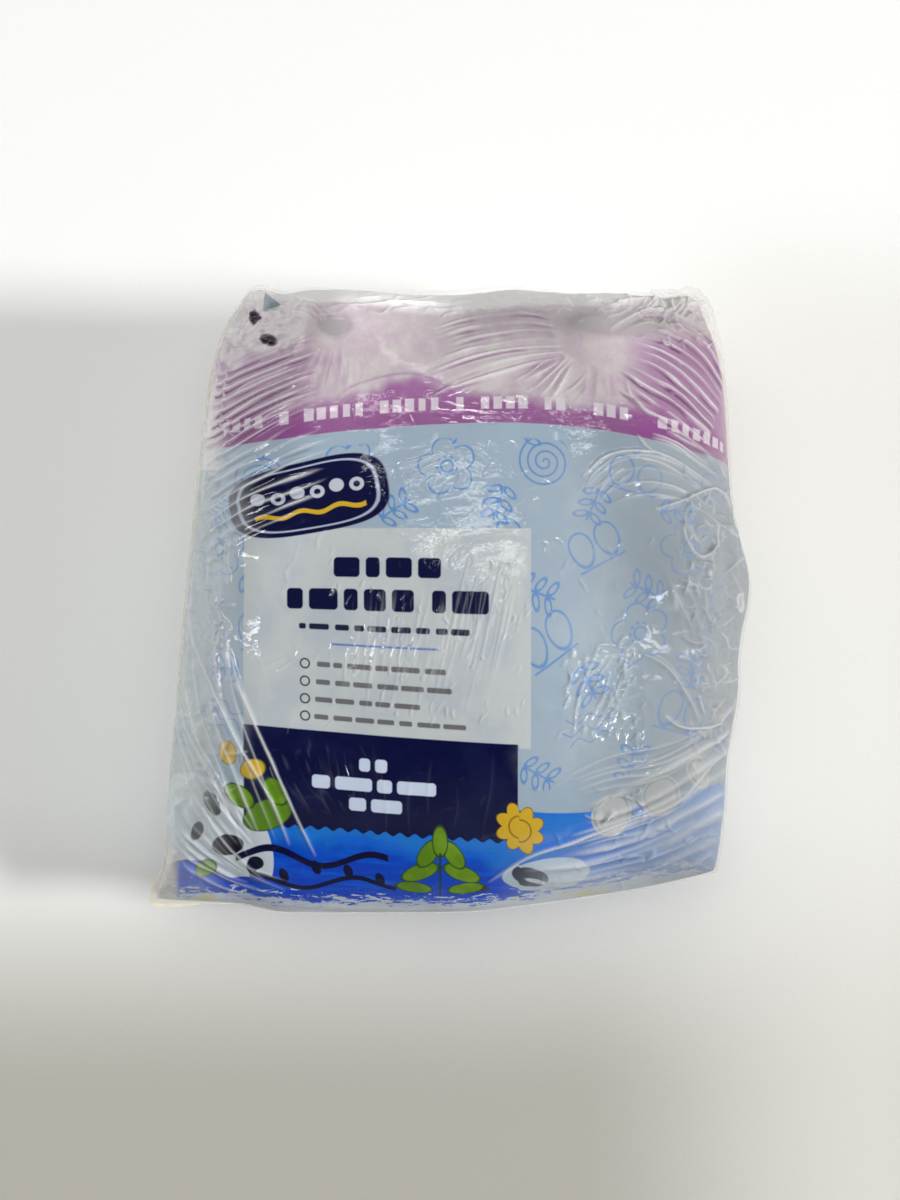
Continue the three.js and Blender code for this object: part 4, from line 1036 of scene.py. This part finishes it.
def film_material():
    """Printed film under a loose clear skin: ink, milkiness, creases and gloss."""
    g = Graph("printed_film")
    film = g.attribute("film", vector=True)
    haze, milk, groove_cling_and_shade, loose = g.attribute("haze"), g.attribute("milk"), g.attribute("groove_cling_and_shade"), g.attribute("loose")
    pleat_white_and_highlight = g.attribute("pleat_white_and_highlight")
    pleat_cos, pleat_narrow = g.attribute("pleat_cos"), g.attribute("pleat_narrow")
    right_side_painted_shade = g.attribute("right_side_painted_shade")
    ink = draw_print(g, film, right_side_painted_shade)
    place_ = g.node("ShaderNodeTexCoord").outputs["Object"]
    wisps = g.noise(g.vmath("MULTIPLY", film, (0.05, 0.05, 0)), 1.0, 4.0, 0.6, 1.2)
    veins = g.noise(place_, 260.0, 2.0, 0.5, 0.8, "RIDGED_MULTIFRACTAL")
    streaks = g.noise(g.vmath("MULTIPLY", film, (0.22, 0.16, 0)), 1.0, 3.0, 0.6, 2.0)
    # White crests of folds and pleats: milky film along the creases, and partly painted highlight.
    crest = g.attribute("crest").high(g.math("EXPONENT", (pleat_cos - 1.0) * pleat_narrow) * pleat_white_and_highlight)
    fog = haze * (1.0 + (wisps - 0.5) * 0.45 + (streaks - 0.5) * 0.3) + g.ramp(veins, 0.62, 0.9) * (haze * 0.08 + (loose - 0.2).high(0.0) * g.ramp(haze, 0.01, 0.14) * 0.12)
    # In the grooves the film clings, so it is less milky there.
    fog = fog * (1.0 - groove_cling_and_shade * 0.80)
    line = crest * (0.55 + streaks * 0.6)
    fog = fog.high(milk * 0.85).high(line * 0.95)
    fog = g.math("MINIMUM", fog.high(0.004), 0.93)
    film_u, film_v, _ = g.split(film)
    # Painted shade: the print is darkened in the grooves, and drawn near black in the dark pockets by the tab corner.
    tint = g.blend(g.ramp(film_v, 418.0, 440.0), linear(152, 106, 152), linear(126, 142, 170))
    ink = g.blend(groove_cling_and_shade * 0.8, ink, g.blend(1.0, ink, tint, "MULTIPLY"))
    ink = g.blend((groove_cling_and_shade - 1.0).high(0.0), ink, linear(26, 16, 30))
    warmth = g.ramp(g.noise(film, 0.012, 1.0, 0.5), 0.42, 0.6)
    # Milk colour: lilac over the band; below it, painted shade darkens the milk on the right side, and less so towards
    # the neck end.
    milk_colour = g.blend(g.ramp(film_v, 418.0, 440.0), g.blend(warmth * 0.6, MILK, MILK_WARM), g.blend(right_side_painted_shade, g.blend(g.ramp(film_u, 290.0, 215.0), MILK_COOL, linear(192, 197, 196)), g.blend(g.ramp(film_v, 770.0, 840.0), linear(169, 172, 174), linear(188, 192, 195))))
    # Clear film without print: painted shade grey under the hood, pale elsewhere, cream towards the neck end.
    bare_colour = g.blend(g.attribute("pale"), SHADED_FILM_GREY, g.blend(g.ramp(film_v, 780.0, 830.0), linear(236, 235, 232), linear(232, 227, 208)))
    body = g.blend(fog, ink, g.blend(g.attribute("bare"), milk_colour, bare_colour))
    # Painted highlight, partly milky film: the crest lines are whitened further.
    body = g.blend(line * 0.85, body, linear(228, 227, 229))
    # Painted shade: the whole film is darkened on the right side, and a little more over the lower right corner.
    body = g.blend(right_side_painted_shade, body, g.blend(1.0, body, linear(224, 223, 221), "MULTIPLY"))
    body = g.blend(g.ramp(film_u, 650.0, 724.0) * g.ramp(film_v, 796.0, 850.0), body, g.blend(1.0, body, linear(242, 242, 244), "MULTIPLY"))
    shader = g.node("ShaderNodeBsdfPrincipled")
    out = g.node("ShaderNodeOutputMaterial")
    g.put(shader.inputs["Base Color"], body)
    rough = 0.32 + haze * 0.24 + (wisps - 0.5) * 0.12
    g.put(shader.inputs["Roughness"], rough)
    g.put(shader.inputs["Coat Weight"], g.ramp(haze, 0.36, 0.72, 1.0, 0.14) * g.ramp(film_v, 808.0, 846.0, 1.0, 0.10) * g.ramp(film_u, 616.0, 664.0, 1.0, 0.42))
    shader.inputs["Coat Roughness"].default_value = 0.055
    shader.inputs["Coat IOR"].default_value = 1.5
    shader.inputs["Specular IOR Level"].default_value = 0.04
    shader.inputs["Subsurface Weight"].default_value = 0.0
    fine = g.noise(place_, 900.0, 3.0, 0.5, 0.6)
    bump = g.node("ShaderNodeBump")
    bump.inputs["Strength"].default_value = 1.0
    bump.inputs["Distance"].default_value = 0.001
    g.put(bump.inputs["Height"], veins * (0.015 + loose * 0.05) + fine * 0.025 + crest * 0.10)
    g.put(shader.inputs["Normal"], bump.outputs["Normal"])
    g.put(shader.inputs["Coat Normal"], bump.outputs["Normal"])
    g.put(out.inputs["Surface"], shader.outputs[0])
    return g.material


def clear_material(name, tint, alpha_low, alpha_high, pale=linear(224, 222, 222)):
    """Clear, slightly milky crumpled film: whiter and denser along its creases and edge."""
    g = Graph(name)
    milk, edge = g.attribute("milk"), g.attribute("edge")
    place_ = g.node("ShaderNodeTexCoord").outputs["Object"]
    veins = g.noise(place_, 520.0, 3.0, 0.55, 0.8, "RIDGED_MULTIFRACTAL")
    cloud = g.noise(place_, 160.0, 2.0, 0.5)
    dense = (milk * 0.5).high(g.ramp(veins, 0.6, 0.95) * 0.4).high(edge)
    shader = g.node("ShaderNodeBsdfPrincipled")
    out = g.node("ShaderNodeOutputMaterial")
    g.put(shader.inputs["Base Color"], g.blend(g.ramp(cloud, 0.35, 0.65), tint, pale))
    g.put(shader.inputs["Roughness"], 0.22 + cloud * 0.2)
    g.put(shader.inputs["Alpha"], g.ramp(dense + cloud * 0.2, 0.0, 1.1, alpha_low, alpha_high, "LINEAR"))
    shader.inputs["Coat Weight"].default_value = 1.0
    shader.inputs["Coat Roughness"].default_value = 0.07
    bump = g.node("ShaderNodeBump")
    bump.inputs["Strength"].default_value = 0.6
    bump.inputs["Distance"].default_value = 0.00025
    g.put(bump.inputs["Height"], veins)
    g.put(shader.inputs["Normal"], bump.outputs["Normal"])
    g.put(shader.inputs["Coat Normal"], bump.outputs["Normal"])
    g.put(out.inputs["Surface"], shader.outputs[0])
    return g.material


# ------------------------------------------------------------------ film that stands off the pack: seams, hem, corners
def rim_loop(n):
    """Points of the seam all round the pack, anticlockwise from the lower left corner, and their outward directions."""
    m = n // 4
    t = even_steps(m, 20)[:-1]
    one_ = np.ones(m)
    p = np.concatenate([t, one_, -t, -one_])
    q = np.concatenate([-one_, t, one_, -t])
    x, y = plan(p, q)
    R = ears(np.stack([x, y, seam_height(p, q)], -1))
    T = np.roll(R, -1, 0) - np.roll(R, 1, 0)
    for _ in range(10):
        T = (np.roll(T, 1, 0) + 2 * T + np.roll(T, -1, 0)) / 4
    T[:, 2] = 0
    out = np.stack([T[:, 1], -T[:, 0], 0 * T[:, 0]], -1)
    out /= np.linalg.norm(out, axis=1, keepdims=True)
    run = np.concatenate([[0], np.cumsum(np.linalg.norm(np.diff(R, axis=0), axis=1))])
    return R, out, p, q, run


def seam_strip(name, n, across, width, raised, ruffle, seed, inner=-1.2, lift=0.0):
    """A ruffled strip of film all round the seam. width, raised (its tilt) and ruffle are functions of (x, y, p, q)."""
    R, out, p, q, run = rim_loop(n)
    x, y = R[:, 0], R[:, 1]
    w, up, amp = width(x, y, p, q), raised(x, y, p, q), ruffle(x, y, p, q)
    total = run[-1] + np.linalg.norm(R[0] - R[-1])
    ang = run / total * 2 * np.pi
    ring = np.stack([np.cos(ang), np.sin(ang), 0 * ang], -1) * total / (2 * np.pi)
    rows = []
    for k in range(across + 1):
        s = k / across
        c = ring + np.array([0, 0, s * 4.0])
        flut = creased(c, (2.4, 2.4, 5.0), seed, 2) - 0.72
        swell = fractal(c, (9, 9, 12), seed + 5, 2)
        crump = fractal(c, (3.4, 3.4, 2.6), seed + 9, 2)
        reach = inner + (w - inner) * s
        side = (flut * 2.4 + swell * 0.9 + crump * 0.8) * amp * s**0.8
        pos = R + out * (reach * np.cos(up) - side * np.sin(up) * 0.6 + crump * amp * 0.45 * s)[:, None]
        pos[:, 2] += reach * np.sin(up) + side * np.cos(up) + lift + swell * amp * 0.4 * s
        rows.append(pos)
    P = np.array(rows)
    P[..., 2] = np.maximum(P[..., 2], 0.3)
    c = ring[None] + np.array([0, 0, 1.0]) * np.linspace(0, 4, across + 1)[:, None, None]
    milk = np.clip((creased(c, (2.4, 2.4, 5.0), seed, 2) - 0.8) * 5, 0, 1)
    ear = bell(np.hypot(x + 73, y + 75), 9)
    edge = np.linspace(0, 1, across + 1)[:, None] ** 3 * 0.5 + 0.9 * ear[None]
    # thin film glows with the light that passes through it, so it is shaded nearly as if it faced up
    n = normals_of(P)
    n = n * np.where(n[..., 2:] < 0, -1.0, 1.0) * 0.75 + np.array([0, 0, 1.0])
    n /= np.linalg.norm(n, axis=-1, keepdims=True)
    return grid_mesh(name, P, dict(milk=milk, edge=edge), {}, normals=n, flip=True, closed=True)


def corner_film(name, centre, size, seed, lean, columns=70, rows=70, rough=1.0):
    """A crumpled pocket of clear film at a corner: a dented dome."""
    a, b = np.meshgrid(np.linspace(-1, 1, columns), np.linspace(-1, 1, rows))
    rad = np.sqrt(a * a + b * b)
    sx, sy, sz = size
    X, Y = a * sx, b * sy
    Z = sz * (1 - np.clip(rad, 0, 1.4) ** 2)
    ca, sa = math.cos(lean), math.sin(lean)
    P = np.stack([X * ca - Y * sa, X * sa + Y * ca, Z], -1)
    c = P + seed * 13.0
    n = normals_of(P)
    d = (creased(c, (3.6, 3.0, 3.6), seed, 3) - 0.7) * 3.4 + fractal(c, 5.0, seed + 3, 2) * 1.2
    P = P + n * (d * rough * smooth(1.45, 0.5, rad))[..., None]
    milk = np.clip((creased(c, (3.6, 3.0, 3.6), seed, 3) - 0.82) * 6, 0, 1)
    edge = np.clip(rad - 0.75, 0, 1) * 0.9
    return grid_mesh(name, P + np.array(centre), dict(milk=milk, edge=edge), {})


# ------------------------------------------------------------------ build the pack
FIELDS = ("haze", "bare", "pale", "right_side_painted_shade", "milk", "crest", "pleat_cos", "pleat_narrow", "pleat_white_and_highlight", "groove_cling_and_shade", "loose")
COLS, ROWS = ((620, 624))
front = build_front(COLS, ROWS)
front["rows"] = even_steps(ROWS, 42, 0.45)
printed = film_material()
cuts = [0, ROWS // 4, 2 * ROWS // 4, 3 * ROWS // 4, ROWS]
pieces = []
for k, name in enumerate(("film_front_hem", "film_front_lower", "film_front_middle", "film_front_upper")):
    rows = slice(cuts[k], cuts[k + 1] + 1)
    obj = grid_mesh(name, front["P"][rows], {key: front[key][rows] for key in FIELDS}, dict(film=front["film"][rows]), normals=front["n"][rows])
    obj.data.materials.append(printed)
    pieces.append(obj)

back = build_back(220, 220, front)
obj = grid_mesh("film_back", back["P"], {key: back[key] for key in FIELDS}, dict(film=back["film"]), normals=back["n"], flip=True)
obj.data.materials.append(printed)
pieces.append(obj)

clear = clear_material("clear_film", linear(222, 221, 220), 0.06, 0.52)
milky = clear_material("seam_film", linear(234, 226, 200), 0.18, 0.88, linear(246, 240, 222))


def seam_width(x, y, p, q):
    w = 0.5 + 0.7 * smooth(-50, -62, x) * smooth(-60, 10, y) + 0.4 * smooth(60, 72, x) * smooth(30, 60, y)
    w = w + 1.5 * bell(np.hypot(x + 73, y + 75), 9) + 1.0 * bell(np.hypot(x - 63, y - 80), 12) + 0.8 * bell(np.hypot(x + 52, y - 79), 10)
    return w + 0.3 * smooth(72, 80, y) - 0.1 * smooth(-66, -76, y) * (1 - bell(x + 72, 9))


def seam_tilt(x, y, p, q):
    return 0.15 + 0.5 * smooth(-50, -62, x) * smooth(0, 60, y) + 0.7 * smooth(70, 80, y)


def seam_ruffle(x, y, p, q):
    r = 0.08 + 0.34 * smooth(-52, -62, x) * smooth(-10, 40, y) + 0.16 * smooth(62, 72, x) * smooth(-60, -20, y)
    return r + 0.4 * bell(np.hypot(x - 63, y - 80), 14)


def skin_width(x, y, p, q):
    w = 0.4 + 2.2 * smooth(72, 80, y) + 2.2 * bell(np.hypot(x - 66, y - 78), 11) + 0.8 * bell(np.hypot(x + 73, y + 75), 8)
    return w + 0.7 * smooth(62, 72, x)


def skin_tilt(x, y, p, q):
    return 0.5 + 0.75 * smooth(68, 80, y) - 0.35 * smooth(-60, -74, y)


def skin_ruffle(x, y, p, q):
    return 0.07 + 0.45 * bell(np.hypot(x - 64, y - 80), 15) + 0.10 * smooth(64, 72, x) * smooth(-60, -20, y) + 0.06 * smooth(70, 80, y)


seam = seam_strip("side_seam", 1500, 10, seam_width, seam_tilt, seam_ruffle, 51)
seam.data.materials.append(milky)
pieces.append(seam)
skin = seam_strip("outer_skin", 1300, 12, skin_width, skin_tilt, skin_ruffle, 71, inner=-2.4, lift=0.8)
skin.data.materials.append(clear)
pieces.append(skin)

ear_ne = corner_film("corner_film_legs", (60.5, 76.5, 44.0), (9.5, 6.5, 5.0), 3, -0.35)
ear_ne.data.materials.append(clear)
pieces.append(ear_ne)
ear_nw = corner_film("corner_film_tab", (-49.5, 76.0, 46.0), (7.0, 5.5, 5.0), 4, 0.4)
ear_nw.data.materials.append(clear)
pieces.append(ear_nw)



def at_view(X, Y, z):
    """The point, mm in the form's own frame, seen at X, Y of the view at height z."""
    ray = LOOK + (X - 450) / FOCAL * np.array([1.0, 0, 0]) + (600 - Y) / FOCAL * UPWARD
    return EYE + ray * ((z - EYE[2]) / ray[2])


def corner_tab():
    """A folded slip of grey-blue film that stands up between the corner's creases."""
    left, right, tip = (263, 310, 53.2), (281, 305, 54.8), (265, 292, 56.5)
    n = 12
    rows = []
    for s in np.linspace(0, 0.97, n):
        a = at_view(*[mix(u, v, s) for u, v in zip(left, tip)])
        b = at_view(*[mix(u, v, s) for u, v in zip(right, tip)])
        row = [mix(a, b, t) + np.array([0, -0.5, 0.9]) * (1 - abs(2 * t - 0.9)) * (1 - s) for t in np.linspace(0, 1, n)]
        rows.append(row)
    P = np.array(rows)
    obj = grid_mesh("corner_tab", P, dict(milk=0 * P[..., 0], edge=0 * P[..., 0] + 0.9), {})
    obj.data.materials.append(clear_material("tab_film", linear(128, 148, 162), 0.62, 0.90, linear(166, 178, 187)))
    return obj


pieces.append(corner_tab())

# ------------------------------------------------------------------ the floor
def floor_material():
    g = Graph("matt_white_floor")
    pos = g.node("ShaderNodeTexCoord").outputs["Object"]
    grain = g.noise(pos, 900.0, 2.0, 0.6)
    shader = g.node("ShaderNodeBsdfPrincipled")
    out = g.node("ShaderNodeOutputMaterial")
    x, y, _ = g.split(pos)
    # Painted shade: the floor is a little darker to the right, except at the back, and much darker towards the front,
    # most on the left.
    floor_right_painted_shade = g.blend(g.ramp(x, 0.03, 0.10) * g.ramp(y, 0.14, 0.08), linear(250, 251, 248), linear(238, 237, 231))
    floor_painted_shade = g.blend(g.ramp(y, -0.040, -0.128) * (1.0 - g.ramp(x, 0.03, 0.11) * 0.6), floor_right_painted_shade, linear(177, 174, 165))
    g.put(shader.inputs["Base Color"], g.blend(g.ramp(grain, 0.2, 0.8) * 0.25, floor_painted_shade, g.blend(1.0, floor_painted_shade, linear(246, 246, 246), "MULTIPLY")))
    g.put(shader.inputs["Roughness"], 0.62 + grain * 0.12)
    g.put(out.inputs["Surface"], shader.outputs[0])
    return g.material


def make_floor():
    n = 24
    a, b = np.meshgrid(np.linspace(-4, 4, n), np.linspace(-4, 4, n))
    mesh = bpy.data.meshes.new("floor")
    v = np.stack([a, b, 0 * a], -1).reshape(-1, 3)
    i = np.arange(n * n).reshape(n, n)
    quads = np.stack([i[:-1, :-1], i[:-1, 1:], i[1:, 1:], i[1:, :-1]], -1).reshape(-1, 4)
    mesh.from_pydata(v.tolist(), [], quads.tolist())
    obj = bpy.data.objects.new("floor", mesh)
    bpy.context.scene.collection.objects.link(obj)
    obj.data.materials.append(floor_material())
    return obj


floor = make_floor()


# ------------------------------------------------------------------ light and camera
def area_light(name, at, aim, size, power, colour=(1, 1, 1)):
    data = bpy.data.lights.new(name, "AREA")
    data.shape = "RECTANGLE"
    data.size, data.size_y = size
    data.energy = power
    data.color = colour
    obj = bpy.data.objects.new(name, data)
    obj.location = at
    obj.rotation_euler = (Vector(aim) - Vector(at)).to_track_quat("-Z", "Y").to_euler()
    bpy.context.scene.collection.objects.link(obj)
    return obj


def hidden_in_gloss(light):
    """A fill that lights the scene but isn't mirrored in the film."""
    light.visible_glossy = False


def glint(name, at, size, radiance, aim=(0, 0, 0.06)):
    """A narrow lamp that only shows as a glint in the film."""
    obj = area_light(name, at, aim, size, radiance * math.pi * size[0] * size[1])
    obj.visible_diffuse = False


hidden_in_gloss(area_light("fill_overhead", (-0.06, 0.09, 1.20), (0, 0.02, 0.03), (1.2, 1.2), 7.4, (1.0, 0.998, 0.99)))
hidden_in_gloss(area_light("key_right", (2.40, -0.50, 1.42), (0, 0, 0.03), (0.56, 0.40), 74.0))
hidden_in_gloss(area_light("fill_left", (-0.90, 0.0, 0.20), (0, 0, 0.04), (0.5, 0.3), 2.6))
glint("strip_right", (0.52, 0.06, 0.30), (0.03, 0.50), 16.0)
glint("strip_left", (-0.50, 0.16, 0.40), (0.03, 0.36), 14.0)
glint("lamp", (0.275, -0.055, 0.56), (0.034, 0.05), 34.0)
glint("strip_back", (0.0, 0.44, 0.40), (0.62, 0.02), 26.0)
glint("strip_back_high", (-0.08, 0.36, 0.62), (0.18, 0.014), 11.0)
glint("lamp_front_left", (-0.30, -0.34, 0.42), (0.12, 0.02), 34.0)
glint("lamp_front_right", (0.34, -0.30, 0.42), (0.12, 0.02), 34.0)
world = bpy.data.worlds.new("studio")
world.use_nodes = True
bpy.context.scene.world = world
wt = world.node_tree
direction = wt.nodes.new("ShaderNodeTexCoord")
parts = wt.nodes.new("ShaderNodeSeparateXYZ")
wt.links.new(direction.outputs["Generated"], parts.inputs[0])


def fall_off(output, low, high, at_low, at_high):
    n = wt.nodes.new("ShaderNodeMapRange")
    n.interpolation_type = "SMOOTHSTEP"
    for i, v in enumerate((low, high, at_low, at_high)):
        n.inputs[i + 1].default_value = v
    wt.links.new(parts.outputs[output], n.inputs["Value"])
    return n.outputs[0]


strength = wt.nodes.new("ShaderNodeMath")
strength.operation = "MULTIPLY"
wt.links.new(fall_off("Z", 0.25, 0.85, 0.50, 0.05), strength.inputs[0])
wt.links.new(fall_off("Y", -0.6, 0.3, 0.35, 1.0), strength.inputs[1])
wt.nodes["Background"].inputs["Color"].default_value = (0.96, 0.97, 0.97, 1)
wt.links.new(strength.outputs[0], wt.nodes["Background"].inputs["Strength"])

lens = bpy.data.cameras.new("camera")
lens.sensor_fit = "AUTO"
lens.sensor_width = 36.0
lens.lens = FOCAL / 1200 * 36.0
lens.clip_start, lens.clip_end = 0.01, 20
camera = bpy.data.objects.new("camera", lens)
camera.matrix_world = Matrix((
    (1, 0, 0, (EYE[0] - OX) * MM),
    (0, UPWARD[1], -LOOK[1], (EYE[1] - OY) * MM),
    (0, UPWARD[2], -LOOK[2], EYE[2] * MM),
    (0, 0, 0, 1),
))
bpy.context.scene.collection.objects.link(camera)
bpy.context.scene.camera = camera
bpy.context.scene.view_settings.view_transform = "Standard"

# ------------------------------------------------------------------ attach the pieces and hide the CAD solid
for obj in pieces:
    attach(obj, "root")
    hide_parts("film_pack")
bpy.context.view_layer.update()
